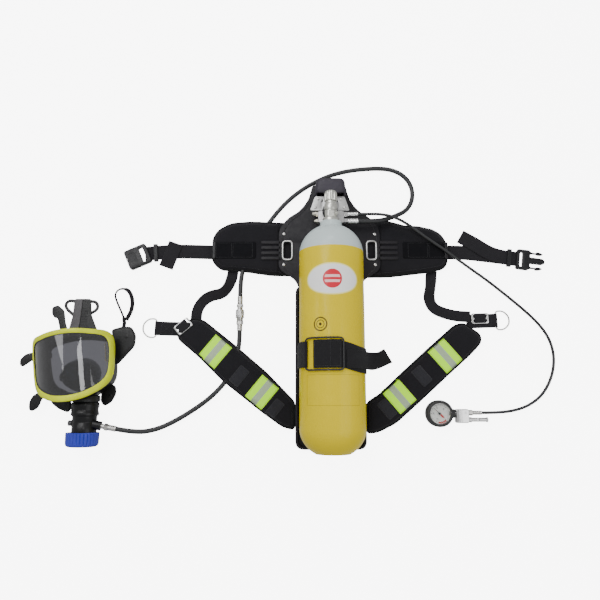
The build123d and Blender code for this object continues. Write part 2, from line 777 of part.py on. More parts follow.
def mask_outline(bottom, side_low, side_mid, side_top, corner):
    """The visor's outline: arcs along the chin, both cheeks and the brow, with rounded corners."""
    with BuildSketch(mask_plane) as outline:
        with BuildLine():
            ThreePointArc((-side_low[0], side_low[1]), (0, bottom), side_low)
            ThreePointArc(side_low, side_mid, side_top)
            ThreePointArc(side_top, (0, side_top[1] + 13), (-side_top[0], side_top[1]))
            ThreePointArc((-side_top[0], side_top[1]), (-side_mid[0], side_mid[1]), (-side_low[0], side_low[1]))
        make_face()
        fillet(outline.vertices(), corner)
    return outline


frame_outline = mask_outline(-86, (88, -48), (98, 10), (95, 72), 20)
window_outline = mask_outline(-71, (80, -38), (90, 8), (87, 60), 17)
body_outline = mask_outline(-80, (82, -44), (90, 8), (88, 66), 20)
face_outline = mask_outline(-66, (68, -34), (76, 6), (74, 54), 17)


def visor_layer(outer_radius, inner_radius):
    """A layer of the visor's cylindrical bend, across the whole mask."""
    with BuildPart() as layer:
        with BuildSketch(visor_section):
            with Locations((0, visor_centre_z)):
                Circle(outer_radius)
                if inner_radius:
                    Circle(inner_radius, mode=Mode.SUBTRACT)
        extrude(amount=110, both=True)
    return layer


frame_layer = visor_layer(visor_radius, visor_radius - frame_thickness)
with BuildPart() as mask_frame:
    add(frame_layer)
    add(frame_outline.sketch)
    extrude(amount=140, mode=Mode.INTERSECT)
    add(window_outline.sketch)
    extrude(amount=140, mode=Mode.SUBTRACT)

lens_layer = visor_layer(visor_radius - 3, visor_radius - 3 - lens_thickness)
with BuildPart() as mask_lens:
    add(lens_layer)
    add(window_outline.sketch)
    extrude(amount=140, mode=Mode.INTERSECT)

under_frame = visor_layer(visor_radius - frame_thickness, 0)
chin_plane = Plane((demand_valve_x, -224, demand_valve_z), z_dir=(0, 1, 0))
port_radius = 22.0
with BuildPart() as mask_body:
    add(under_frame)
    add(body_outline.sketch)
    extrude(amount=140, mode=Mode.INTERSECT)
    with BuildSketch(chin_plane):
        Circle(33)
    extrude(amount=14)
    add(face_outline.sketch)
    extrude(amount=140, mode=Mode.SUBTRACT)
    with BuildSketch(chin_plane):
        Circle(port_radius)
    extrude(amount=40, mode=Mode.SUBTRACT)

nose_plane = turned(-622, -158, 10, mask_tilt)


def nose_form(inset):
    """The half-mask's closed form, drawn in by a wall."""
    with BuildPart() as form:
        with BuildSketch(nose_plane):
            Ellipse(46 - inset, 42 - inset)
        with BuildSketch(nose_plane.offset(40)):
            Ellipse(40 - inset, 34 - inset)
        with BuildSketch(nose_plane.offset(68 - inset)):
            Ellipse(22 - inset, 18 - inset)
        loft()
    return form


with BuildPart() as nose_cup:
    add(nose_form(0))
    add(nose_form(2.5), mode=Mode.SUBTRACT)

# Rubber lugs of the face seal, and the harness that hangs from them.
lug_outlines = [
    [(-550, -70), (-556, -44), (-530, -36), (-505, -36), (-492, -58), (-494, -86), (-536, -134), (-552, -120)],
    [(-568, -176), (-537, -184), (-534, -204), (-545, -226), (-563, -236), (-573, -222), (-571, -192)],
    [(-680, -188), (-700, -212), (-694, -228), (-676, -242), (-650, -252), (-643, -236), (-652, -202)],
]
with BuildPart() as mask_lugs:
    for outline in lug_outlines:
        with BuildSketch(Plane.XY.offset(10)) as lug_face:
            Polygon(*outline, align=None)
            fillet(lug_face.vertices(), 3)
        extrude(amount=9)

harness_outlines = [
    [(-668, -78), (-686, -42), (-698, -12), (-706, 12), (-691, 18), (-674, 0), (-650, -74)],
    [(-696, -118), (-742, -120), (-774, -138), (-776, -122), (-764, -109), (-740, -105), (-698, -102)],
    [(-684, -188), (-720, -198), (-740, -213), (-745, -230), (-736, -248), (-722, -230), (-682, -204)],
    [(-650, 34), (-608, 34), (-604, -8), (-588, -45), (-584, -64), (-660, -78), (-660, -46), (-652, -8)],
]
with BuildPart() as head_harness:
    for outline in harness_outlines:
        with BuildSketch(Plane.XY.offset(24)) as strap_face:
            Polygon(*outline, align=None)
            fillet(strap_face.vertices(), 2)
        extrude(amount=3)

loop_routes = [
    [(-644, 27), (-668, 31), (-676, 13), (-648, -10)],
    [(-612, 28), (-594, 26), (-590, 8), (-608, -3)],
]
with BuildPart() as side_loops:
    for route in loop_routes:
        with BuildLine() as loop_line:
            FilletPolyline(*route, radius=6)
        with BuildSketch(Plane.XY.offset(19)):
            trace(loop_line.line, 3)
        extrude(amount=5)

neck_route = [(-540, -70), (-527, -38), (-526, -16), (-548, 28), (-556, 50), (-543, 65), (-520, 62), (-508, 36), (-509, 8), (-522, -18)]
with BuildPart() as neck_strap:
    with BuildLine() as neck_line:
        FilletPolyline(*neck_route, radius=5)
    with BuildSketch(Plane.XY.offset(0.3)):
        trace(neck_line.line, 4)
    extrude(amount=11)

# ---------------------------------------------------------------- demand valve
valve_axis_plane = Plane((demand_valve_x, -224.3, demand_valve_z), z_dir=(0, -1, 0))
button_start_x = -637.0
with BuildPart() as demand_valve:
    with BuildSketch(valve_axis_plane):
        Circle(33)
    extrude(amount=34)
    fillet(demand_valve.edges().filter_by(GeomType.CIRCLE), 5)
    with BuildSketch(valve_axis_plane.offset(30)):
        Circle(29)
    extrude(amount=49)
    with BuildSketch(valve_axis_plane):
        Circle(port_radius - 0.2)
    extrude(amount=-22)
    with BuildSketch(Plane(origin=(-556, -282, 49), z_dir=ferrule_run)):
        Circle(11)
    extrude(amount=26)
    with BuildSketch(Plane((button_start_x + 9, -275, demand_valve_z), z_dir=(1, 0, 0))):
        Circle(10)
    extrude(amount=12)
    with BuildSketch(Plane((button_start_x, -275, demand_valve_z), z_dir=(1, 0, 0))):
        Circle(7 + running_clearance)
    extrude(amount=17, mode=Mode.SUBTRACT)

with BuildPart() as release_button:
    with BuildSketch(Plane((button_start_x, -275, demand_valve_z), z_dir=(1, 0, 0))):
        Circle(7)
    extrude(amount=13)
    fillet(release_button.faces().sort_by(Axis.X)[0].edges(), 1.5)

cap_start_y = -297.0
cap_plane = Plane((demand_valve_x - 3, cap_start_y, demand_valve_z), z_dir=(0, -1, 0))
with BuildPart() as purge_cap:
    with BuildSketch(cap_plane):
        Circle(39)
    extrude(amount=34)
    fillet(purge_cap.faces().sort_by(Axis.Y)[0].edges(), 6)
    with BuildSketch(cap_plane):
        with PolarLocations(40.2, 28):
            Circle(2.2)
    extrude(amount=26, mode=Mode.SUBTRACT)
    with BuildSketch(cap_plane):
        Circle(33)
    extrude(amount=11, mode=Mode.SUBTRACT)

# ---------------------------------------------------------------- write the pieces
pieces = {
    "back_plate": back_plate,
    "valve_guard": valve_guard,
    "slot_rims": slot_rims,
    "plate_screws": plate_screws,
    "cradle_saddles": cradle_saddles,
    "cylinder_wrap": cylinder_wrap,
    "cylinder_liner": cylinder_liner,
    "cylinder_strap": cylinder_strap,
    "strap_ring": strap_ring,
    "strap_tail": strap_tail,
    "valve_body": valve_body,
    "valve_knob": valve_knob,
    "coupling_handwheel": coupling_handwheel,
    "reducer_body": reducer_body,
    "reducer_bracket": reducer_bracket,
    "relief_valve": relief_valve,
    "reducer_fittings": reducer_fittings,
    "thick_hose_upper": thick_hose_upper,
    "coupler_plug": coupler_plug,
    "coupler_sleeve": coupler_sleeve,
    "coupler_socket": coupler_socket,
    "thick_hose_lower": thick_hose_lower,
    "gauge_hose": gauge_hose,
    "hose_ferrules": hose_ferrules,
    "whistle_block": whistle_block,
    "whistle": whistle,
    "gauge_boot": gauge_boot,
    "gauge_case": gauge_case,
    "gauge_dial": gauge_dial,
    "gauge_needle": gauge_needle,
    "gauge_lens": gauge_lens,
    "hip_pad_left": hip_pad_left,
    "hip_pad_right": hip_pad_right,
    "hip_panels": hip_panels,
    "waist_webs": waist_webs,
    "waist_tails": waist_tails,
    "web_keepers": web_keepers,
    "buckle_female": buckle_female,
    "buckle_male": buckle_male,
    "arm_upper": arm_upper,
    "arm_lower": arm_lower,
    "shoulder_pad_left": shoulder_pad_left,
    "shoulder_pad_right": shoulder_pad_right,
    "shoulder_webs": shoulder_webs,
    "adjusters": adjusters,
    "d_ring_left": d_ring_left,
    "d_ring_right": d_ring_right,
    "d_ring_tabs": d_ring_tabs,
    "mask_body": mask_body,
    "mask_frame": mask_frame,
    "mask_lens": mask_lens,
    "nose_cup": nose_cup,
    "mask_lugs": mask_lugs,
    "head_harness": head_harness,
    "side_loops": side_loops,
    "neck_strap": neck_strap,
    "demand_valve": demand_valve,
    "release_button": release_button,
    "purge_cap": purge_cap,
}
for name, piece in pieces.items():
    piece.part.label = name
    export_step(piece.part, f"parts/{name}.step")
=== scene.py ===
"""Looks of the breathing apparatus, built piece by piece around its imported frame.

Lengths are metres in the frame's own axes: +X across the harness, +Y along the cylinder
towards its valve, +Z up from the floor. Sizes given in millimetres pass through mm().
"""

import logging
import math
from dataclasses import dataclass, field
from enum import Enum
from typing import Callable, Iterable, Optional, Sequence

import bmesh
import bpy
from mathutils import Matrix, Vector, noise
from mathutils.bvhtree import BVHTree


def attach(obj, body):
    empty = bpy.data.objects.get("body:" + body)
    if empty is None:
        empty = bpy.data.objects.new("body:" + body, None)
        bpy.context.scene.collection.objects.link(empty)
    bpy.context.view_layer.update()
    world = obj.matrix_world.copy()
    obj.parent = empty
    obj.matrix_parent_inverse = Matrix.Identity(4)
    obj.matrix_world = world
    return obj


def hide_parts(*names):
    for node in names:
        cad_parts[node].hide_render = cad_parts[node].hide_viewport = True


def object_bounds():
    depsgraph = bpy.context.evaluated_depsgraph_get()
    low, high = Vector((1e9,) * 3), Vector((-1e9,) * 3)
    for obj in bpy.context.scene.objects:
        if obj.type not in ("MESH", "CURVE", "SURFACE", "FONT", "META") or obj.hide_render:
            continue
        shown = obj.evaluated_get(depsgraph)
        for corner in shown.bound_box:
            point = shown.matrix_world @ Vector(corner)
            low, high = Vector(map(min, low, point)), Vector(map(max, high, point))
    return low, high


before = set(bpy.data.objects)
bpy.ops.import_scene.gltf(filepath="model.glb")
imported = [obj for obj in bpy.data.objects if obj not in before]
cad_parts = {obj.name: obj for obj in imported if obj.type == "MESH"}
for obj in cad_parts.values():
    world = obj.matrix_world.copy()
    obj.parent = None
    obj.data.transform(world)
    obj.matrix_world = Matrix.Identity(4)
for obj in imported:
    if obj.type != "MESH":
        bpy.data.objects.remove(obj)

CAD_LOW, CAD_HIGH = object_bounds()
LOG = logging.getLogger("air_pack")
ROOT = "pack"

Point = Sequence[float]
Colour = tuple[float, float, float]


# ---------------------------------------------------------------- measures and curves
def mm(*values: float) -> Vector | float:
    """Millimetres as metres: one number for one value, a vector for two or three."""
    return values[0] * 0.001 if len(values) == 1 else Vector(values) * 0.001


def soften(points: Sequence[Point], rounds: int = 3, closed: bool = True) -> list[Vector]:
    """Rounds a coarse line by cutting its corners again and again.

    Args:
        points: the coarse line.
        rounds: how many times every corner is cut.
        closed: whether the line returns to its start.

    Returns:
        The smooth line.
    """
    line = [Vector(p) for p in points]
    for _ in range(rounds):
        count = len(line)
        cut = [] if closed else [line[0]]
        for i in range(count if closed else count - 1):
            a, b = line[i], line[(i + 1) % count]
            cut += [a.lerp(b, 0.25), a.lerp(b, 0.75)]
        line = cut if closed else cut + [line[-1]]
    return line


def rounded(points: Sequence[Point], radius: float, steps: int = 6) -> list[Vector]:
    """A closed outline whose corners are rounded by short curves.

    Args:
        points: the corners, in order.
        radius: how far along its sides each corner is taken back.
        steps: points on each corner's curve.

    Returns:
        The outline with rounded corners.
    """
    corners = [Vector(p) for p in points]
    line = []
    for i, here in enumerate(corners):
        before, after = corners[i - 1], corners[(i + 1) % len(corners)]
        back = min(radius, 0.48 * (before - here).length)
        ahead = min(radius, 0.48 * (after - here).length)
        a = here + (before - here).normalized() * back
        b = here + (after - here).normalized() * ahead
        for k in range(steps + 1):
            t = k / steps
            line.append(a.lerp(here, t).lerp(here.lerp(b, t), t))
    return line


def box_outline(width: float, height: float, radius: float, centre: Point = (0, 0)) -> list[Vector]:
    """A rounded rectangle about a centre, in millimetres, as 2-D points in metres.

    Args:
        width: size along x.
        height: size along y.
        radius: corner radius.
        centre: middle point.

    Returns:
        The points.
    """
    x, y = width / 2, height / 2
    corners = [(-x, -y), (x, -y), (x, y), (-x, y)]
    return [mm(cx + centre[0], cy + centre[1]) for cx, cy in
            [tuple(p) for p in rounded([Vector(c) for c in corners], radius)]]


def evenly(line: Sequence[Vector], spacing: float) -> list[Vector]:
    """The same line with its points about one spacing apart.

    Args:
        line: the points to space out.
        spacing: distance between new points, in the line's own unit.

    Returns:
        The points.
    """
    lengths = [0.0]
    for a, b in zip(line, line[1:]):
        lengths.append(lengths[-1] + (b - a).length)
    count = max(2, round(lengths[-1] / spacing))
    out, i = [], 0
    for k in range(count + 1):
        goal = lengths[-1] * k / count
        while i < len(lengths) - 2 and lengths[i + 1] < goal:
            i += 1
        run = lengths[i + 1] - lengths[i]
        out.append(line[i].lerp(line[i + 1], (goal - lengths[i]) / run if run else 0.0))
    return out


def level_turn(x: float, y: float, z: float, degrees: float) -> Matrix:
    """Placement of a piece at a point in millimetres, turned about the vertical."""
    return Matrix.Translation(mm(x, y, z)) @ Matrix.Rotation(math.radians(degrees), 4, "Z")


def facing(origin: Point, direction: Point, roll: float = 0.0) -> Matrix:
    """Placement whose local +Z points along a direction.

    Args:
        origin: the place, in millimetres.
        direction: where local +Z points.
        roll: turn about that direction, in degrees.

    Returns:
        The placement matrix.
    """
    turn = Vector(direction).to_track_quat("Z", "Y").to_matrix().to_4x4()
    return Matrix.Translation(mm(*origin)) @ turn @ Matrix.Rotation(math.radians(roll), 4, "Z")


# ---------------------------------------------------------------- finishes
class Board:
    """A material's node board with the few moves that the finishes share."""

    def __init__(self, name: str, **sockets: float | tuple) -> None:
        """Starts a material.

        Args:
            name: the material's name.
            sockets: values set directly on the shader, with _ for a space.
        """
        self.material = bpy.data.materials.new(name)
        self.material.use_nodes = True
        self.nodes = self.material.node_tree.nodes
        self.links = self.material.node_tree.links
        self.shader = self.nodes["Principled BSDF"]
        for socket, value in sockets.items():
            self.shader.inputs[socket.replace("_", " ")].default_value = value

    def plug(self, target: bpy.types.NodeSocket, value: object) -> None:
        """Links a socket, or sets it where the value is a number or a colour.

        Args:
            target: socket that receives it.
            value: a socket, number or colour.
        """
        if isinstance(value, bpy.types.NodeSocket):
            self.links.new(value, target)
        else:
            target.default_value = (*value, 1.0) if isinstance(value, tuple) and len(value) == 3 \
                and target.type == "RGBA" else value

    def to_shader(self, socket: str, value: object) -> None:
        """Feeds one of the shader's sockets."""
        self.plug(self.shader.inputs[socket], value)

    def coordinates(self, scale: Point = (1, 1, 1), turn: float = 0.0, shift: Point = (0, 0, 0),
                    kind: str = "Object") -> bpy.types.NodeSocket:
        """Texture coordinates, scaled, turned about Z in degrees and shifted.

        Args:
            scale: scale of the pattern.
            turn: turn about the upright axis, in degrees.
            shift: offset of the pattern.
            kind: which coordinates.

        Returns:
            The socket that carries the result.
        """
        source = self.nodes.new("ShaderNodeTexCoord").outputs[kind]
        mapping = self.nodes.new("ShaderNodeMapping")
        mapping.inputs["Scale"].default_value = scale
        mapping.inputs["Rotation"].default_value = (0, 0, math.radians(turn))
        mapping.inputs["Location"].default_value = shift
        self.links.new(source, mapping.inputs["Vector"])
        return mapping.outputs["Vector"]

    def noise(self, vector: bpy.types.NodeSocket, scale: float, detail: float = 3.0,
              rough: float = 0.5) -> bpy.types.NodeSocket:
        """Cloudy noise from 0 to 1.

        Args:
            vector: coordinates to read.
            scale: scale of the pattern.
            detail: how many finer layers.
            rough: strength of the finer layers.

        Returns:
            The socket that carries the result.
        """
        node = self.nodes.new("ShaderNodeTexNoise")
        self.links.new(vector, node.inputs["Vector"])
        node.inputs["Scale"].default_value = scale
        node.inputs["Detail"].default_value = detail
        node.inputs["Roughness"].default_value = rough
        return node.outputs["Fac"]

    def cells(self, vector: bpy.types.NodeSocket, scale: float) -> bpy.types.NodeSocket:
        """Distance to the nearest cell centre, for a moulded grain.

        Args:
            vector: coordinates to read.
            scale: scale of the pattern.

        Returns:
            The socket that carries the result.
        """
        node = self.nodes.new("ShaderNodeTexVoronoi")
        self.links.new(vector, node.inputs["Vector"])
        node.inputs["Scale"].default_value = scale
        return node.outputs["Distance"]

    def split(self, vector: bpy.types.NodeSocket) -> Sequence[bpy.types.NodeSocket]:
        """The three parts of a vector.

        Args:
            vector: coordinates to read.

        Returns:
            The x, y and z sockets.
        """
        node = self.nodes.new("ShaderNodeSeparateXYZ")
        self.links.new(vector, node.inputs[0])
        return node.outputs

    def sum(self, operation: str, a: object, b: object = 0.0, c: object = 0.0) -> bpy.types.NodeSocket:
        """One arithmetic step.

        Args:
            operation: name of the arithmetic.
            a: first value.
            b: second value.
            c: third value, where it is used.

        Returns:
            The socket that carries the result.
        """
        node = self.nodes.new("ShaderNodeMath")
        node.operation = operation
        for socket, value in zip(node.inputs, (a, b, c)):
            self.plug(socket, value)
        return node.outputs[0]

    def between(self, value: object, low: float, high: float, to_low: float = 0.0,
                to_high: float = 1.0) -> bpy.types.NodeSocket:
        """Maps a range smoothly onto another, clamped.

        Args:
            value: the value to map.
            low: lower end.
            high: upper end.
            to_low: result at the lower end.
            to_high: result at the upper end.

        Returns:
            The socket that carries the result.
        """
        node = self.nodes.new("ShaderNodeMapRange")
        node.interpolation_type = "SMOOTHSTEP"
        for name, given in (("Value", value), ("From Min", low), ("From Max", high),
                            ("To Min", to_low), ("To Max", to_high)):
            self.plug(node.inputs[name], given)
        return node.outputs["Result"]

    def blend(self, factor: object, a: object, b: object) -> bpy.types.NodeSocket:
        """Mixes two colours.

        Args:
            factor: share of the second.
            a: first value.
            b: second value.

        Returns:
            The socket that carries the result.
        """
        node = self.nodes.new("ShaderNodeMix")
        node.data_type = "RGBA"
        self.plug(node.inputs["Factor"], factor)
        self.plug(node.inputs[6], a)
        self.plug(node.inputs[7], b)
        return node.outputs[2]

    def bump(self, height: object, distance: float, strength: float = 1.0,
             under: Optional[bpy.types.NodeSocket] = None) -> bpy.types.NodeSocket:
        """Turns a height into a normal, on top of another bump where one is given.

        Args:
            height: the pattern that makes the relief.
            distance: depth in metres.
            strength: how strongly it acts.
            under: normal it builds on.

        Returns:
            The socket that carries the result.
        """
        node = self.nodes.new("ShaderNodeBump")
        node.inputs["Strength"].default_value = strength
        node.inputs["Distance"].default_value = distance
        self.plug(node.inputs["Height"], height)
        if under is not None:
            self.links.new(under, node.inputs["Normal"])
        return node.outputs["Normal"]

    def worn_edges(self, colour: object, worn: Colour, amount: float) -> bpy.types.NodeSocket:
        """Lightens a colour on the corners that hands and floors rub.

        Args:
            colour: colour underneath.
            worn: colour of the rubbed corners.
            amount: greatest share of wear.

        Returns:
            The socket that carries the result.
        """
        pointed = self.nodes.new("ShaderNodeNewGeometry").outputs["Pointiness"]
        edge = self.between(pointed, 0.52, 0.60, 0.0, amount)
        patchy = self.sum("MULTIPLY", edge, self.noise(self.coordinates(), 60.0, 4.0, 0.7))
        return self.blend(patchy, colour, worn)


def darker(colour: Colour, share: float) -> Colour:
    """A colour scaled towards black, or away from it when the share is above one."""
    return tuple(min(1.0, c * share) for c in colour)


@dataclass(frozen=True)
class Webbing:
    """Woven strap: ribs slanting both ways across the width, selvedges and a little lint."""

    name: str
    colour: Colour
    width: float = 0.038
    pitch: float = 0.0022
    sheen: float = 0.25

    def make(self) -> bpy.types.Material:
        """Builds the material; it reads the strap's own length and width coordinates.

        Returns:
            The material.
        """
        board = Board(self.name, Roughness=0.82, Sheen_Weight=self.sheen, Sheen_Roughness=0.5,
                      Specular_IOR_Level=0.25)
        along, across, _ = board.split(board.coordinates(kind="UV"))
        fold = board.sum("PINGPONG", across, self.width / 4)
        slant = board.sum("ADD", along, board.sum("MULTIPLY", fold, 1.1))
        rib = board.sum("SINE", board.sum("MULTIPLY", slant, math.tau / self.pitch))
        thread = board.sum("SINE", board.sum("MULTIPLY", across, math.tau / (self.pitch * 0.55)))
        height = board.sum("ADD", board.sum("MULTIPLY", rib, 0.6), board.sum("MULTIPLY", thread, 0.35))
        blotch = board.noise(board.coordinates(), 55.0, 4.0, 0.6)
        # Colour follows the weave's height: lighter on the raised ribs and darker in the grooves, which is
        # painted shade; the blotches add random mottling.
        weave_shade_and_mottle = board.sum("ADD", board.between(height, -0.9, 0.9, 0.0, 0.6),
                         board.sum("MULTIPLY", blotch, 0.5))
        colour = board.blend(weave_shade_and_mottle, darker(self.colour, 0.5), darker(self.colour, 1.6))
        lint = board.between(board.noise(board.coordinates(), 900.0, 2.0, 0.8), 0.70, 0.78, 0.0, 0.35)
        board.to_shader("Base Color", board.blend(lint, colour, (0.16, 0.155, 0.15)))
        board.to_shader("Normal", board.bump(height, 0.00035, 0.8))
        return board.material


@dataclass(frozen=True)
class PadFabric:
    """Coarse synthetic cloth on foam: a plain weave of thick yarn, mottled, slightly napped."""

    name: str
    colour: Colour
    turn: float = 0.0
    pitch: float = 0.0013
    sheen: float = 0.35

    def make(self) -> bpy.types.Material:
        """Builds the material on the piece's own coordinates.

        Returns:
            The material.
        """
        board = Board(self.name, Roughness=0.9, Sheen_Weight=self.sheen, Sheen_Roughness=0.45,
                      Specular_IOR_Level=0.2)
        place = board.coordinates(turn=self.turn)
        x, y, _ = board.split(place)
        count = math.pi / self.pitch
        warp = board.sum("ABSOLUTE", board.sum("SINE", board.sum("MULTIPLY", x, count)))
        weft = board.sum("ABSOLUTE", board.sum("SINE", board.sum("MULTIPLY", y, count)))
        turn_x = board.sum("SINE", board.sum("MULTIPLY", x, count / 2))
        turn_y = board.sum("SINE", board.sum("MULTIPLY", y, count / 2))
        over = board.between(board.sum("MULTIPLY", turn_x, turn_y), -0.15, 0.15)
        height = board.sum("ADD", board.sum("MULTIPLY", over, warp),
                           board.sum("MULTIPLY", board.sum("SUBTRACT", 1.0, over), weft))
        cloud = board.noise(board.coordinates(), 28.0, 5.0, 0.6)
        # Colour follows the weave's height: lighter on the raised yarn and darker in its hollows, which is
        # painted shade; the cloud adds random mottling.
        weave_shade_and_mottle = board.sum("ADD", board.between(height, 0.1, 1.0, 0.0, 0.45),
                         board.sum("MULTIPLY", cloud, 0.6))
        colour = board.blend(weave_shade_and_mottle, darker(self.colour, 0.55), darker(self.colour, 1.5))
        dust = board.between(board.noise(board.coordinates(), 700.0, 2.0, 0.8), 0.71, 0.8, 0.0, 0.3)
        board.to_shader("Base Color", board.blend(dust, colour, (0.15, 0.145, 0.14)))
        soft = board.bump(board.noise(board.coordinates(), 45.0, 3.0, 0.55), 0.0016, 0.5)
        board.to_shader("Normal", board.bump(height, 0.0004, 0.7, under=soft))
        return board.material


@dataclass(frozen=True)
class Moulded:
    """Moulded plastic or rubber: fine cast grain, uneven gloss, rubbed corners."""

    name: str
    colour: Colour
    roughness: float = 0.45
    grain: float = 1400.0
    grain_depth: float = 0.00006
    wear: float = 0.25
    worn: Colour = (0.2, 0.2, 0.2)
    coat: float = 0.0
    specular: float = 0.5

    def make(self) -> bpy.types.Material:
        """Builds the material on the piece's own coordinates.

        Returns:
            The material.
        """
        board = Board(self.name, Specular_IOR_Level=self.specular, Coat_Weight=self.coat,
                      Coat_Roughness=0.12)
        place = board.coordinates()
        cloud = board.noise(place, 35.0, 4.0, 0.6)
        colour = board.blend(cloud, darker(self.colour, 0.75), darker(self.colour, 1.25))
        board.to_shader("Base Color", board.worn_edges(colour, self.worn, self.wear))
        smear = board.noise(place, 90.0, 5.0, 0.65)
        board.to_shader("Roughness",
                        board.between(smear, 0.25, 0.8, self.roughness - 0.09, self.roughness + 0.1))
        grain = board.cells(place, self.grain)
        board.to_shader("Normal", board.bump(grain, self.grain_depth, 0.6))
        return board.material


@dataclass(frozen=True)
class Metal:
    """Bare or plated metal, with brushing along one axis, fine scratches and dull patches."""

    name: str
    colour: Colour
    roughness: float = 0.25
    brush: Point = (30.0, 900.0, 900.0)
    depth: float = 0.00002
    tarnish: Colour = (0.3, 0.28, 0.26)
    tarnish_share: float = 0.2

    def make(self) -> bpy.types.Material:
        """Builds the material on the piece's own coordinates.

        Returns:
            The material.
        """
        board = Board(self.name, Metallic=1.0)
        lines = board.noise(board.coordinates(scale=self.brush), 1.0, 3.0, 0.7)
        cloud = board.noise(board.coordinates(), 70.0, 5.0, 0.65)
        dull = board.between(cloud, 0.5, 0.75, 0.0, self.tarnish_share)
        shade = board.blend(lines, darker(self.colour, 0.86), darker(self.colour, 1.1))
        board.to_shader("Base Color", board.blend(dull, shade, self.tarnish))
        spread = board.sum("MULTIPLY", board.between(lines, 0.3, 0.7, 0.75, 1.3), self.roughness)
        board.to_shader("Roughness", board.sum("ADD", spread, board.sum("MULTIPLY", dull, 0.25)))
        board.to_shader("Normal", board.bump(lines, self.depth, 0.35))
        return board.material


@dataclass(frozen=True)
class ClearShell:
    """Clear or smoked moulded lens with wiping marks."""

    name: str
    colour: Colour
    roughness: float = 0.03
    coat: float = 0.6
    body: float = 1.0

    def make(self) -> bpy.types.Material:
        """Builds the material on the piece's own coordinates.

        Returns:
            The material.
        """
        board = Board(self.name, Transmission_Weight=1.0, IOR=1.49, Coat_Weight=self.coat,
                      Coat_Roughness=0.05, Base_Color=(*self.colour, 1.0), Alpha=self.body)
        wipe = board.noise(board.coordinates(scale=(1.0, 0.35, 1.0)), 70.0, 5.0, 0.7)
        board.to_shader("Roughness", board.between(wipe, 0.45, 0.8, self.roughness, self.roughness + 0.12))
        board.to_shader("Normal", board.bump(board.noise(board.coordinates(), 14.0, 1.0), 0.0006, 0.25))
        return board.material


@dataclass(frozen=True)
class SafetyCloth:
    """Fluorescent patch with a silver reflecting stripe along its middle; its lime parts carry a painted
    glow.
    """

    name: str
    lime: Colour = (0.46, 0.98, 0.0)
    silver: Colour = (0.42, 0.52, 0.36)
    stripe: float = 0.0085

    def make(self) -> bpy.types.Material:
        """Builds the material on the patch's width coordinate.

        Returns:
            The material.
        """
        board = Board(self.name, Roughness=0.62, Specular_IOR_Level=0.15)
        along, across, _ = board.split(board.coordinates(kind="UV"))
        inside = board.between(board.sum("ABSOLUTE", across), self.stripe + 0.0003, self.stripe - 0.0003)
        weave = board.sum("MULTIPLY", board.sum("SINE", board.sum("MULTIPLY", along, 4200.0)),
                          board.sum("SINE", board.sum("MULTIPLY", across, 4200.0)))
        glass = board.cells(board.coordinates(), 1500.0)
        # The lime is lighter on the raised threads and darker between them, following the weave's height:
        # painted shade.
        lime = board.blend(board.between(weave, -1.0, 1.0), darker(self.lime, 0.82),
                           darker(self.lime, 1.08))
        silver = board.blend(glass, darker(self.silver, 1.15), darker(self.silver, 0.8))
        dirt = board.between(board.noise(board.coordinates(), 60.0, 5.0, 0.7), 0.55, 0.85, 0.0, 0.16)
        mixed = board.blend(inside, lime, silver)
        board.to_shader("Base Color", board.blend(dirt, mixed, (0.25, 0.28, 0.15)))
        # Painted glow: the lime parts emit their own colour, so they stay bright whatever the lamps.
        board.to_shader("Emission Color", board.blend(inside, self.lime, (0.0, 0.0, 0.0)))
        board.shader.inputs["Emission Strength"].default_value = 0.4
        board.to_shader("Metallic", board.sum("MULTIPLY", inside, 0.45))
        board.to_shader("Normal", board.bump(weave, 0.00015, 0.6))
        return board.material


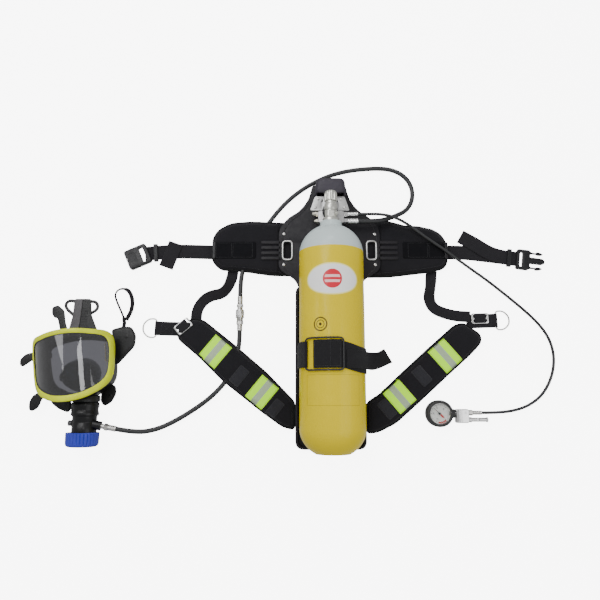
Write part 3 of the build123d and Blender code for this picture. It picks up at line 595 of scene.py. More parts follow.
@dataclass(frozen=True)
class CylinderPaint:
    """Lacquered wound cylinder: grey shoulder, yellow body, and plain printed labels."""

    name: str = "cylinder_lacquer"
    yellow: Colour = (0.70, 0.54, 0.0)
    grey: Colour = (0.52, 0.60, 0.60)
    white: Colour = (0.86, 0.86, 0.85)
    red: Colour = (0.62, 0.03, 0.05)
    brown: Colour = (0.07, 0.045, 0.01)
    radius: float = 0.078
    axis_height: float = 0.1
    shoulder_y: float = 0.135
    label_y: float = 0.055

    def make(self) -> bpy.types.Material:
        """Builds the material from the place along and round the cylinder.

        Returns:
            The material.
        """
        board = Board(self.name, Coat_Weight=0.12, Coat_Roughness=0.08, Specular_IOR_Level=0.12)
        place = board.coordinates()
        x, y, z = board.split(place)
        turn = board.sum("ARCTAN2", x, board.sum("SUBTRACT", z, self.axis_height))
        round_it = board.sum("MULTIPLY", turn, self.radius)
        cloud = board.noise(place, 9.0, 4.0, 0.55)
        yellow = board.blend(cloud, darker(self.yellow, 0.9), darker(self.yellow, 1.1))
        ripple = board.noise(board.coordinates(scale=(1.0, 1.0, 1.0)), 22.0, 2.0)
        edge = board.sum("ADD", y, board.sum("MULTIPLY", board.sum("SUBTRACT", ripple, 0.5), 0.0012))
        upper = board.between(edge, self.shoulder_y - 0.0004, self.shoulder_y + 0.0004)
        colour = board.blend(upper, yellow,
                             board.blend(cloud, darker(self.grey, 0.93), darker(self.grey, 1.07)))
        colour = self._oval_label(board, colour, round_it, y)
        colour = self._small_marks(board, colour, round_it, y)
        scuff = board.between(board.noise(board.coordinates(scale=(6, 60, 6)), 4.0, 6.0, 0.75), 0.66, 0.74,
                              0.0, 0.25)
        board.to_shader("Base Color", board.blend(scuff, colour, (0.35, 0.3, 0.16)))
        board.to_shader("Roughness",
                        board.between(board.noise(place, 40.0, 5.0, 0.6), 0.3, 0.8, 0.22, 0.36))
        wound = board.sum("SINE",
                          board.sum("MULTIPLY", board.sum("ADD", y, board.sum("MULTIPLY", round_it, 0.12)),
                                    900.0))
        body = board.bump(board.noise(place, 30.0, 3.0, 0.5), 0.0009, 0.35)
        board.to_shader("Normal", board.bump(wound, 0.00005, 0.35, under=body))
        return board.material

    def _ring(self, board: Board, u: object, v: object, centre: Point, radii: Point, soft: float) -> object:
        """How far inside an oval a place is: one inside, zero outside.

        Args:
            board: the material being built.
            u: place round the cylinder, in metres.
            v: place along the cylinder, in metres.
            centre: middle point.
            radii: half sizes both ways.
            soft: width of the blurred border.

        Returns:
            The colour or share, as a socket.
        """
        du = board.sum("DIVIDE", board.sum("SUBTRACT", u, centre[0]), radii[0])
        dv = board.sum("DIVIDE", board.sum("SUBTRACT", v, centre[1]), radii[1])
        reach = board.sum("SQRT",
                          board.sum("ADD", board.sum("MULTIPLY", du, du), board.sum("MULTIPLY", dv, dv)))
        return board.between(reach, 1.0 + soft, 1.0 - soft)

    def _oval_label(self, board: Board, colour: object, u: object, v: object) -> object:
        """The white oval with its round emblem: a red ring, two red caps and a plain bar.

        Args:
            board: the material being built.
            colour: colour underneath.
            u: place round the cylinder, in metres.
            v: place along the cylinder, in metres.

        Returns:
            The colour or share, as a socket.
        """
        centre = (-0.002, self.label_y)
        label = self._ring(board, u, v, centre, (0.062, 0.0345), 0.01)
        rim = self._ring(board, u, v, centre, (0.065, 0.0375), 0.05)
        disc = self._ring(board, u, v, centre, (0.0225, 0.0225), 0.03)
        inner = self._ring(board, u, v, centre, (0.0185, 0.0185), 0.03)
        height = board.sum("ABSOLUTE", board.sum("SUBTRACT", v, self.label_y))
        caps = board.between(height, 0.0085, 0.0095)
        bar = board.between(height, 0.0032, 0.0026)
        figure = board.sum("MAXIMUM", caps, bar)
        pale = (0.9, 0.55, 0.55)
        emblem = board.blend(inner, self.red, board.blend(figure, pale, self.red))
        colour = board.blend(rim, colour, (0.9, 0.86, 0.35))
        colour = board.blend(label, colour, self.white)
        return board.blend(disc, colour, emblem)

    def _small_marks(self, board: Board, colour: object, u: object, v: object) -> object:
        """The small double ring and the thin border of the plain panel below it.

        Args:
            board: the material being built.
            colour: colour underneath.
            u: place round the cylinder, in metres.
            v: place along the cylinder, in metres.

        Returns:
            The colour or share, as a socket.
        """
        centre = (-0.031, -0.050)
        for outer, inner in ((0.0165, 0.0135), (0.0098, 0.0082), (0.0035, 0.0)):
            ring = self._ring(board, u, v, centre, (outer, outer), 0.05)
            if inner:
                hole = self._ring(board, u, v, centre, (inner, inner), 0.05)
                ring = board.sum("SUBTRACT", ring, hole)
            colour = board.blend(ring, colour, self.brown)
        side = board.sum("ABSOLUTE", board.sum("SUBTRACT", u, -0.002))
        height = board.sum("ABSOLUTE", board.sum("SUBTRACT", v, -0.198))
        off = board.sum("MAXIMUM", board.sum("SUBTRACT", side, 0.066), board.sum("SUBTRACT", height, 0.034))
        line = board.between(board.sum("ABSOLUTE", off), 0.0008, 0.0004, 0.0, 0.35)
        return board.blend(line, colour, self.brown)


@dataclass(frozen=True)
class FloorPaint:
    """Plain pale sweep under and behind the apparatus."""

    name: str = "pale_floor"
    glow: float = 7.0

    def make(self) -> bpy.types.Material:
        """Builds a nearly white matt surface, faintly cloudy and lit from within like a light table.

        Returns:
            The material.
        """
        board = Board(self.name, Roughness=0.85, Specular_IOR_Level=0.15)
        cloud = board.noise(board.coordinates(), 3.0, 3.0, 0.5)
        board.to_shader("Base Color", board.blend(cloud, (0.90, 0.90, 0.895), (0.94, 0.94, 0.935)))
        board.to_shader("Emission Color", (1.0, 1.0, 1.0))
        board.shader.inputs["Emission Strength"].default_value = self.glow
        return board.material


class Finish(Enum):
    """Every finish on the apparatus, by the piece it belongs to."""

    BELT_WEB = Webbing("belt_webbing", (0.011, 0.010, 0.013), sheen=0.08)
    STRAP_WEB = Webbing("cylinder_strap_webbing", (0.008, 0.0075, 0.009), width=0.059, pitch=0.003,
                        sheen=0.06)
    HARNESS_WEB = Webbing("head_harness_rubber_web", (0.009, 0.008, 0.010), width=0.02, pitch=0.0018,
                          sheen=0.05)
    HOOK_TAPE = Webbing("hook_tape", (0.016, 0.016, 0.021), width=0.02, pitch=0.0016, sheen=0.2)
    PAD = PadFabric("pad_cloth", (0.009, 0.0085, 0.011), sheen=0.12)
    PAD_BINDING = PadFabric("pad_binding", (0.006, 0.006, 0.007), pitch=0.0008, sheen=0.08)
    HIP_PAD = PadFabric("hip_pad_cloth", (0.009, 0.0085, 0.011), turn=30.0, sheen=0.12)
    PLATE = Moulded("back_plate_plastic", (0.010, 0.009, 0.012), roughness=0.5, wear=0.25, specular=0.25)
    GUARD = Moulded("guard_rubber", (0.024, 0.020, 0.032), roughness=0.62, grain=900.0)
    PANEL = Moulded("hip_band_rubber", (0.006, 0.006, 0.0075), roughness=0.75, grain=1100.0, specular=0.06,
                    wear=0.0)
    BLACK_RUBBER = Moulded("black_rubber", (0.014, 0.014, 0.015), roughness=0.58, grain=1600.0, wear=0.15)
    HOSE = Moulded("hose_rubber", (0.018, 0.019, 0.021), roughness=0.5, grain=2200.0, wear=0.0)
    MASK_RUBBER = Moulded("mask_rubber", (0.007, 0.007, 0.008), roughness=0.38, grain=1800.0, wear=0.1,
                          specular=0.3)
    NOSE_CUP = Moulded("nose_cup_rubber", (0.16, 0.17, 0.19), roughness=0.4, grain=2000.0, wear=0.0)
    BUCKLE = Moulded("buckle_plastic", (0.010, 0.010, 0.012), roughness=0.42, wear=0.2, specular=0.3)
    HOUSING = Moulded("valve_housing_plastic", (0.006, 0.006, 0.007), roughness=0.34, wear=0.0,
                      grain=2600.0, grain_depth=0.00001, coat=0.1, specular=0.25)
    BUTTON = Moulded("release_button_plastic", (0.06, 0.06, 0.065), roughness=0.35)
    CAP_BLUE = Moulded("cap_plastic_blue", (0.032, 0.046, 0.42), roughness=0.42, worn=(0.1, 0.14, 0.55),
                       wear=0.2, specular=0.25)
    FRAME_YELLOW = Moulded("visor_frame_yellow", (0.64, 0.72, 0.0), roughness=0.34, grain=2600.0,
                           worn=(0.85, 0.88, 0.2), wear=0.15, coat=0.08, specular=0.2)
    STEEL = Metal("bright_steel", (0.62, 0.61, 0.59), roughness=0.22)
    CHROME = Metal("chrome_plate", (0.80, 0.80, 0.80), roughness=0.1, tarnish_share=0.08)
    RIM = Metal("slot_rim_steel", (0.62, 0.62, 0.62), roughness=0.28, tarnish_share=0.1)
    VALVE_METAL = Metal("valve_plated_brass", (0.66, 0.66, 0.61), roughness=0.33, tarnish=(0.4, 0.38, 0.33))
    BRACKET_METAL = Metal("bracket_alloy", (0.50, 0.50, 0.50), roughness=0.42, tarnish_share=0.35)
    BRASS = Metal("small_brass", (0.72, 0.69, 0.60), roughness=0.3)
    NECK = Metal("neck_alloy", (0.68, 0.68, 0.68), roughness=0.3)
    LENS = ClearShell("gauge_lens_clear", (0.95, 0.96, 0.96), body=0.3)
    VISOR = ClearShell("visor_smoked", (0.17, 0.17, 0.20), coat=1.0)
    HI_VIS = SafetyCloth("hi_vis_patch")
    CYLINDER = CylinderPaint()
    FLOOR = FloorPaint()
    DIAL = Moulded("dial_face", (0.80, 0.81, 0.76), roughness=0.5, grain=2500.0, wear=0.0)
    DIAL_INK = Moulded("dial_ink", (0.02, 0.02, 0.02), roughness=0.6, grain=2500.0, wear=0.0)
    DIAL_RED = Moulded("dial_red", (0.55, 0.03, 0.02), roughness=0.5, grain=2500.0, wear=0.0)
    THREAD = PadFabric("sewing_thread", (0.045, 0.045, 0.05), pitch=0.0004, sheen=0.1)
    BAND_GREY = Moulded("head_band_worn_rubber", (0.055, 0.05, 0.055), roughness=0.5, grain=1800.0,
                        wear=0.1)
    NEEDLE = Moulded("needle_black", (0.015, 0.02, 0.018), roughness=0.4, grain=2500.0, wear=0.0)

    def material(self) -> bpy.types.Material:
        """The finish's material, made once.

        Returns:
            The material.
        """
        if self not in MADE:
            MADE[self] = self.value.make()
        return MADE[self]


MADE: dict[Finish, bpy.types.Material] = {}


# ---------------------------------------------------------------- the workshop
@dataclass
class Piece:
    """How a finished mesh joins the apparatus."""

    name: str
    finish: Finish
    slot: str
    body: str = ROOT
    replaces: tuple[str, ...] = ()

    def label(self) -> str:
        """The piece's name, told apart from the frame node it stands for."""
        return f"{self.name}_finished" if self.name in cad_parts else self.name

    def add(self, mesh: bpy.types.Mesh, angle: float = 35.0) -> bpy.types.Object:
        """Puts the mesh in the scene, dressed, riding on its body.

        Args:
            mesh: the finished mesh, in the frame's axes.
            angle: edges sharper than this many degrees stay crisp.

        Returns:
            The new object.
        """
        mesh.name = self.label()
        mesh.shade_smooth()
        mesh.set_sharp_from_angle(angle=math.radians(angle))
        made = bpy.data.objects.new(self.label(), mesh)
        bpy.context.scene.collection.objects.link(made)
        mesh.materials.clear()
        mesh.materials.append(self.finish.material())
        return self.join(made)

    def join(self, made: bpy.types.Object) -> bpy.types.Object:
        """Lets an object ride on its body and stand for its frame nodes.

        Args:
            made: the meshes of the piece.

        Returns:
            The object.
        """
        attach(made, self.body)
        if self.replaces:
            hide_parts(*self.replaces)
        LOG.info("%s on %s, %s", self.name, self.body, self.finish.value.name)
        return made


def mesh_from(vertices: Iterable[Point], faces: Iterable[Sequence[int]]) -> bpy.types.Mesh:
    """A mesh from points and faces, with its normals turned outwards.

    Args:
        vertices: corner points.
        faces: corner numbers of each face.

    Returns:
        The mesh.
    """
    mesh = bpy.data.meshes.new("mesh")
    mesh.from_pydata([tuple(v) for v in vertices], [], [tuple(f) for f in faces])
    work = bmesh.new()
    work.from_mesh(mesh)
    bmesh.ops.recalc_face_normals(work, faces=work.faces)
    work.to_mesh(mesh)
    work.free()
    return mesh


def joined(meshes: Sequence[bpy.types.Mesh]) -> bpy.types.Mesh:
    """Several meshes as one; the first one's coordinates layer is kept.

    Args:
        meshes: the meshes to put together.

    Returns:
        The mesh.
    """
    work = bmesh.new()
    for mesh in meshes:
        work.from_mesh(mesh)
    out = bpy.data.meshes.new("mesh")
    work.to_mesh(out)
    work.free()
    return out


def placed(mesh: bpy.types.Mesh, matrix: Matrix) -> bpy.types.Mesh:
    """The mesh moved into place.

    Args:
        mesh: the mesh to move.
        matrix: where it goes.

    Returns:
        The mesh.
    """
    mesh.transform(matrix)
    if matrix.determinant() < 0:
        mesh.flip_normals()
    return mesh


def loft(rings: Sequence[Sequence[Vector]], capped: bool = True, looped: bool = False) -> bpy.types.Mesh:
    """A skin over rings of equal count.

    Args:
        rings: the rings, in order.
        capped: whether the first and last ring are closed by a face.
        looped: whether the last ring joins the first.

    Returns:
        The mesh.
    """
    count = len(rings[0])
    vertices = [p for ring in rings for p in ring]
    faces = []
    for k in range(len(rings) if looped else len(rings) - 1):
        a, b = k * count, ((k + 1) % len(rings)) * count
        faces += [(a + i, a + (i + 1) % count, b + (i + 1) % count, b + i) for i in range(count)]
    if capped and not looped:
        faces.append(tuple(range(count))[::-1])
        faces.append(tuple((len(rings) - 1) * count + i for i in range(count)))
    return mesh_from(vertices, faces)


def lathe(profile: Sequence[Point], matrix: Matrix, steps: int = 64,
          wave: Optional[Callable[[float, float, float], float]] = None) -> bpy.types.Mesh:
    """A turned piece about local +Z.

    Args:
        profile: (radius, height) pairs in millimetres; a closed hoop where the ends meet.
        matrix: where the local axes go.
        steps: points round the piece.
        wave: optional radius as a function of radius, height and angle, for flutes and knurls.

    Returns:
        The mesh.
    """
    hoop = profile[0] == profile[-1]
    rings = []
    for radius, height in profile[:-1] if hoop else profile:
        ring = []
        for i in range(steps):
            angle = math.tau * i / steps
            reach = wave(radius, height, angle) if wave else radius
            ring.append(mm(reach * math.cos(angle), reach * math.sin(angle), height))
        rings.append(ring)
    return placed(loft(rings, capped=not hoop, looped=hoop), matrix)


def sheet_plate(outlines: Sequence[Sequence[Point]], low: float, high: float, edge: float,
                matrix: Matrix = Matrix.Identity(4), steps: int = 3) -> bpy.types.Mesh:
    """A flat plate with holes and rounded edges.

    Args:
        outlines: the outer outline and then its holes, 2-D points in metres.
        low: underside height in millimetres.
        high: top height in millimetres.
        edge: edge rounding in millimetres.
        matrix: where the local axes go.
        steps: segments in the rounding.

    Returns:
        The mesh.
    """
    curve = bpy.data.curves.new("outline", "CURVE")
    curve.dimensions = "2D"
    curve.fill_mode = "BOTH"
    for outline in outlines:
        spline = curve.splines.new("POLY")
        spline.points.add(len(outline) - 1)
        for point, place in zip(spline.points, outline):
            point.co = (place[0], place[1], 0.0, 1.0)
        spline.use_cyclic_u = True
    curve.extrude = mm((high - low) / 2 - edge)
    curve.bevel_depth = mm(edge)
    curve.offset = -mm(edge)
    curve.bevel_resolution = steps
    holder = bpy.data.objects.new("outline", curve)
    mesh = bpy.data.meshes.new_from_object(holder)
    bpy.data.objects.remove(holder)
    bpy.data.curves.remove(curve)
    work = bmesh.new()
    work.from_mesh(mesh)
    bmesh.ops.remove_doubles(work, verts=work.verts, dist=1e-6)
    bmesh.ops.recalc_face_normals(work, faces=work.faces)
    work.to_mesh(mesh)
    work.free()
    return placed(mesh, matrix @ Matrix.Translation((0, 0, mm((low + high) / 2))))


def wire(line: Sequence[Vector], radius: float, closed: bool = False, sides: int = 12,
         flat: float = 1.0) -> bpy.types.Mesh:
    """A round or slightly flattened bar along a line.

    Args:
        line: the bar's centre line, in metres.
        radius: its radius in millimetres.
        closed: whether it returns to its start.
        sides: points round the bar.
        flat: thickness up and down as a share of the radius.

    Returns:
        The mesh.
    """
    rings = []
    count = len(line)
    for i, here in enumerate(line):
        before = line[i - 1] if closed or i else line[0]
        after = line[(i + 1) % count] if closed or i < count - 1 else line[-1]
        heading = (after - before).normalized()
        side = heading.cross(Vector((0, 0, 1)))
        side = side.normalized() if side.length > 1e-4 else Vector((1, 0, 0))
        up = side.cross(heading).normalized()
        turns = [math.tau * k / sides for k in range(sides)]
        rings.append([here + (side * math.cos(turn) + up * flat * math.sin(turn))
                      * mm(radius) for turn in turns])
    return loft(rings, capped=not closed, looped=closed)


def ribbon(line: Sequence[Vector], width: float, thickness: float, ups: Optional[Sequence[Vector]] = None,
           closed: bool = False) -> bpy.types.Mesh:
    """A woven strap along a line, with length and width coordinates in metres.

    Args:
        line: the strap's middle, in metres.
        width: its width in millimetres.
        thickness: its thickness in millimetres.
        ups: the direction its face looks in at each point; straight up where none are given.
        closed: whether it returns to its start.

    Returns:
        The mesh.
    """
    half, rise = mm(width) / 2, mm(thickness) / 2
    lip = rise * 0.8
    section = [(-half, 0.0), (-half + lip * 0.4, rise * 0.8), (-half + lip * 1.5, rise)]
    section += [(half * k / 4, rise) for k in range(-3, 4)]
    section += [(half - lip * 1.5, rise), (half - lip * 0.4, rise * 0.8), (half, 0.0)]
    section += [(s, -r) for s, r in reversed(section[1:-1])]
    rings, lengths, travelled = [], [], 0.0
    count = len(line)
    for i, here in enumerate(line):
        before = line[i - 1] if closed or i else line[0]
        after = line[(i + 1) % count] if closed or i < count - 1 else line[-1]
        heading = (after - before).normalized()
        up = ups[i] if ups else Vector((0, 0, 1))
        side = heading.cross(up).normalized()
        up = side.cross(heading).normalized()
        rings.append([here + side * s + up * r for s, r in section])
        travelled += (here - line[i - 1]).length if i else 0.0
        lengths.append(travelled)
    mesh = loft(rings, capped=not closed, looped=closed)
    layer = mesh.uv_layers.new(name="Lay")
    size = len(section)
    for corner in mesh.loops:
        ring, spot = divmod(corner.vertex_index, size)
        layer.data[corner.index].uv = (lengths[ring], section[spot][0])
    return mesh


def stitch_row(line: Sequence[Vector], length: float = 2.6, gap: float = 1.4, radius: float = 0.35,
               up: Vector = Vector((0, 0, 1))) -> list[bpy.types.Mesh]:
    """Thread stitches along a line, each a short raised loop that dips at its ends.

    Args:
        line: points along the seam, in metres.
        length: length of one stitch.
        gap: space between stitches.
        radius: thickness of the thread.
        up: direction away from the cloth.

    Returns:
        The meshes.
    """
    stitches = []
    points = evenly(line, mm(length + gap))
    for a, b in zip(points, points[1:]):
        run = (b - a).normalized() * mm(length)
        arch = [a - up * mm(0.25), a + run * 0.25 + up * mm(radius * 0.7),
                a + run * 0.75 + up * mm(radius * 0.7), a + run - up * mm(0.25)]
        stitches.append(wire(arch, radius, sides=6))
    return stitches


# ---------------------------------------------------------------- soft work
def carved(base: bpy.types.Mesh, cutters: Sequence[bpy.types.Mesh]) -> bpy.types.Mesh:
    """The base with every cutter taken out of it.

    Args:
        base: mesh to cut.
        cutters: meshes taken away.

    Returns:
        The mesh.
    """
    made = bpy.data.objects.new("carving", base)
    bpy.context.scene.collection.objects.link(made)
    helpers = []
    for cutter in cutters:
        helper = bpy.data.objects.new("cutter", cutter)
        bpy.context.scene.collection.objects.link(helper)
        helpers.append(helper)
        cut = made.modifiers.new("cut", "BOOLEAN")
        cut.operation = "DIFFERENCE"
        cut.object = helper
        cut.solver = "EXACT"
    bpy.context.view_layer.update()
    mesh = bpy.data.meshes.new_from_object(made.evaluated_get(bpy.context.evaluated_depsgraph_get()))
    for helper in helpers + [made]:
        bpy.data.objects.remove(helper)
    return mesh


def puffed(mesh: bpy.types.Mesh, grain: float, pressure: float, limit: float) -> bpy.types.Mesh:
    """Fills out a closed cover with a short pressure simulation.

    Args:
        mesh: the slack cover.
        grain: size of its cloth cells in millimetres.
        pressure: how hard it is filled.
        limit: the furthest that any point moves, in millimetres.

    Returns:
        The filled cover, subdivided once.
    """
    made = bpy.data.objects.new("cover", mesh)
    bpy.context.scene.collection.objects.link(made)
    remesh = made.modifiers.new("grain", "REMESH")
    remesh.mode = "VOXEL"
    remesh.voxel_size = mm(grain)
    bpy.context.view_layer.update()
    cover = bpy.data.meshes.new_from_object(made.evaluated_get(bpy.context.evaluated_depsgraph_get()))
    made.modifiers.clear()
    made.data = cover
    rest = [v.co.copy() for v in cover.vertices]
    cloth = made.modifiers.new("cloth", "CLOTH")
    cloth.settings.use_pressure = True
    cloth.settings.uniform_pressure_force = pressure
    cloth.settings.effector_weights.gravity = 0.0
    cloth.settings.quality = 5
    cloth.point_cache.frame_start, cloth.point_cache.frame_end = 1, 20
    for frame_number in range(1, 21):
        bpy.context.scene.frame_set(frame_number)
    cover = bpy.data.meshes.new_from_object(made.evaluated_get(bpy.context.evaluated_depsgraph_get()))
    made.modifiers.clear()
    made.data = cover
    bpy.context.scene.frame_set(1)
    for vertex, start in zip(cover.vertices, rest):
        move = vertex.co - start
        if move.length > mm(limit):
            vertex.co = start + move.normalized() * mm(limit)
    smooth = made.modifiers.new("fine", "SUBSURF")
    smooth.levels = smooth.render_levels = 1
    bpy.context.view_layer.update()
    fine = bpy.data.meshes.new_from_object(made.evaluated_get(bpy.context.evaluated_depsgraph_get()))
    bpy.data.objects.remove(made)
    return fine


@dataclass
class Cushion:
    """A foam pad in a sewn cover, with a bound edge and rows of stitches."""

    outline: Sequence[Point]
    high: float = 20.0
    corner: float = 12.0
    grain: float = 5.0
    pressure: float = 4.0
    limit: float = 2.2
    tree: object = field(default=None, init=False)

    def cover(self, top: Callable[[float, float], float]) -> bpy.types.Mesh:
        """The filled cover, settled under a height limit.

        Args:
            top: the greatest height in millimetres over a place in millimetres.

        Returns:
            The finished mesh.
        """
        line = [mm(p.x, p.y) for p in rounded([Vector(p) for p in self.outline], self.corner, 5)]
        slack = sheet_plate([line], 1.0, self.high - 1.6, self.high * 0.36, steps=5)
        mesh = puffed(slack, self.grain, self.pressure, self.limit)
        for vertex in mesh.vertices:
            x, y, z = vertex.co
            place = Vector((x * 34.0, y * 34.0, z * 20.0))
            if z > mm(self.high * 0.5):
                z += mm(0.7) * noise.noise(place) + mm(0.35) * noise.noise(place * 3.1)
            vertex.co.z = min(max(z, mm(0.3)), mm(top(x * 1000, y * 1000)))
        self.tree = BVHTree.FromPolygons([v.co for v in mesh.vertices], [p.vertices for p in mesh.polygons])
        return mesh

    def height(self, x: float, y: float) -> float:
        """Height of the cover's top over a place in metres, or of the floor beside it."""
        hit = self.tree.ray_cast(Vector((x, y, 1.0)), Vector((0, 0, -1)))[0]
        return hit.z if hit else 0.0

    def edge(self, inset: float) -> list[Vector]:
        """A line round the pad, an inset in millimetres inside its outline.

        Args:
            inset: distance drawn in from the outline, in millimetres.

        Returns:
            The points.
        """
        line = rounded([Vector(p) for p in self.outline], self.corner, 5)
        area = sum(a.x * b.y - b.x * a.y for a, b in zip(line, line[1:] + line[:1]))
        inner = []
        for i, here in enumerate(line):
            run = (line[(i + 1) % len(line)] - line[i - 1]).normalized()
            inner.append(here + Vector((-run.y, run.x)) * (inset if area > 0 else -inset))
        return [mm(p.x, p.y, 0) for p in inner + inner[:1]]

    def draped(self, line: Sequence[Vector], lift: float) -> list[Vector]:
        """The line laid on the cover, lifted by some millimetres."""
        return [Vector((p.x, p.y, self.height(p.x, p.y) + mm(lift))) for p in line]

    def binding(self) -> bpy.types.Mesh:
        """The tape folded round the pad's edge.

        Returns:
            The mesh.
        """
        line = evenly(self.edge(0.8), 0.004)[:-1]
        band = [Vector((p.x, p.y, mm(self.high * 0.44 + 0.5 * math.sin(i * 0.9)))) for i,
                p in enumerate(line)]
        return wire(band, 2.6, closed=True, sides=10, flat=1.9)

    def stitches(self, inset: float) -> list[bpy.types.Mesh]:
        """A row of stitches on the cover, an inset inside its edge."""
        return stitch_row(self.draped(evenly(self.edge(inset), 0.004), 0.1))

    def patch(self, centre: Point, angle: float, length: float, width: float, lift: float = 0.8,
              corner: float = 0.0) -> bpy.types.Mesh:
        """A patch sewn on the cover, following its surface, with its own length and width coordinates.

        Args:
            centre: the patch's middle in millimetres.
            angle: direction of its length, in degrees.
            length: its length in millimetres.
            width: its width in millimetres.
            lift: its thickness in millimetres.
            corner: how far its corners are drawn in, in millimetres.

        Returns:
            The mesh.
        """
        along = Vector((math.cos(math.radians(angle)), math.sin(math.radians(angle))))
        across = Vector((-along.y, along.x))
        rows, columns = max(4, round(length / 3)), max(4, round(width / 3))
        places, faces, spots = [], [], []
        for level in (1, 0):
            for i in range(rows + 1):
                for j in range(columns + 1):
                    u, v = length * (i / rows - 0.5), width * (j / columns - 0.5)
                    if i in (0, rows) and j in (0, columns):
                        u, v = u - math.copysign(corner, u), v - math.copysign(corner, v)
                    spot = mm(*(Vector(centre) + along * u + across * v))
                    rim = i in (0, rows) or j in (0, columns)
                    rise = -0.6 if not level else 0.25 * lift if rim else lift
                    places.append((spot.x, spot.y, max(0.0002, self.height(spot.x, spot.y) + mm(rise))))
                    spots.append((mm(u), mm(v)))
        size = columns + 1
        layer_size = (rows + 1) * size
        for i in range(rows):
            for j in range(columns):
                a = i * size + j
                faces.append((a, a + size, a + size + 1, a + 1))
                faces.append(tuple(layer_size + k for k in (a, a + 1, a + size + 1, a + size)))
        rim = [j for j in range(columns)] + [i * size + columns for i in range(rows)] + \
            [rows * size + j for j in range(columns, 0, -1)] + [i * size for i in range(rows, 0, -1)]
        for a, b in zip(rim, rim[1:] + rim[:1]):
            faces.append((a, b, layer_size + b, layer_size + a))
        mesh = mesh_from(places, faces)
        layer = mesh.uv_layers.new(name="Lay")
        for loop in mesh.loops:
            layer.data[loop.index].uv = spots[loop.vertex_index]
        return mesh

    def box_stitch(self, centre: Point, angle: float, length: float, width: float, lift: float = 0.9,
                   crossed: bool = False) -> list[bpy.types.Mesh]:
        """Stitches in a box, with a cross inside where asked for.

        Args:
            centre: middle point.
            angle: direction, in degrees.
            length: length of the box, in millimetres.
            width: width of the box, in millimetres.
            lift: height above the cover, in millimetres.
            crossed: whether a cross is sewn inside the box.

        Returns:
            The meshes.
        """
        turn = Matrix.Rotation(math.radians(angle), 2)
        corners = [Vector(centre) + turn @ Vector((sx * length / 2, sy * width / 2))
                   for sx, sy in ((-1, -1), (1, -1), (1, 1), (-1, 1))]
        runs = list(zip(corners, corners[1:] + corners[:1]))
        if crossed:
            runs += [(corners[0], corners[2]), (corners[1], corners[3])]
        rows = []
        for a, b in runs:
            line = evenly([mm(a.x, a.y, 0), mm(b.x, b.y, 0)], 0.004)
            rows += stitch_row(self.draped(line, lift))
        return rows


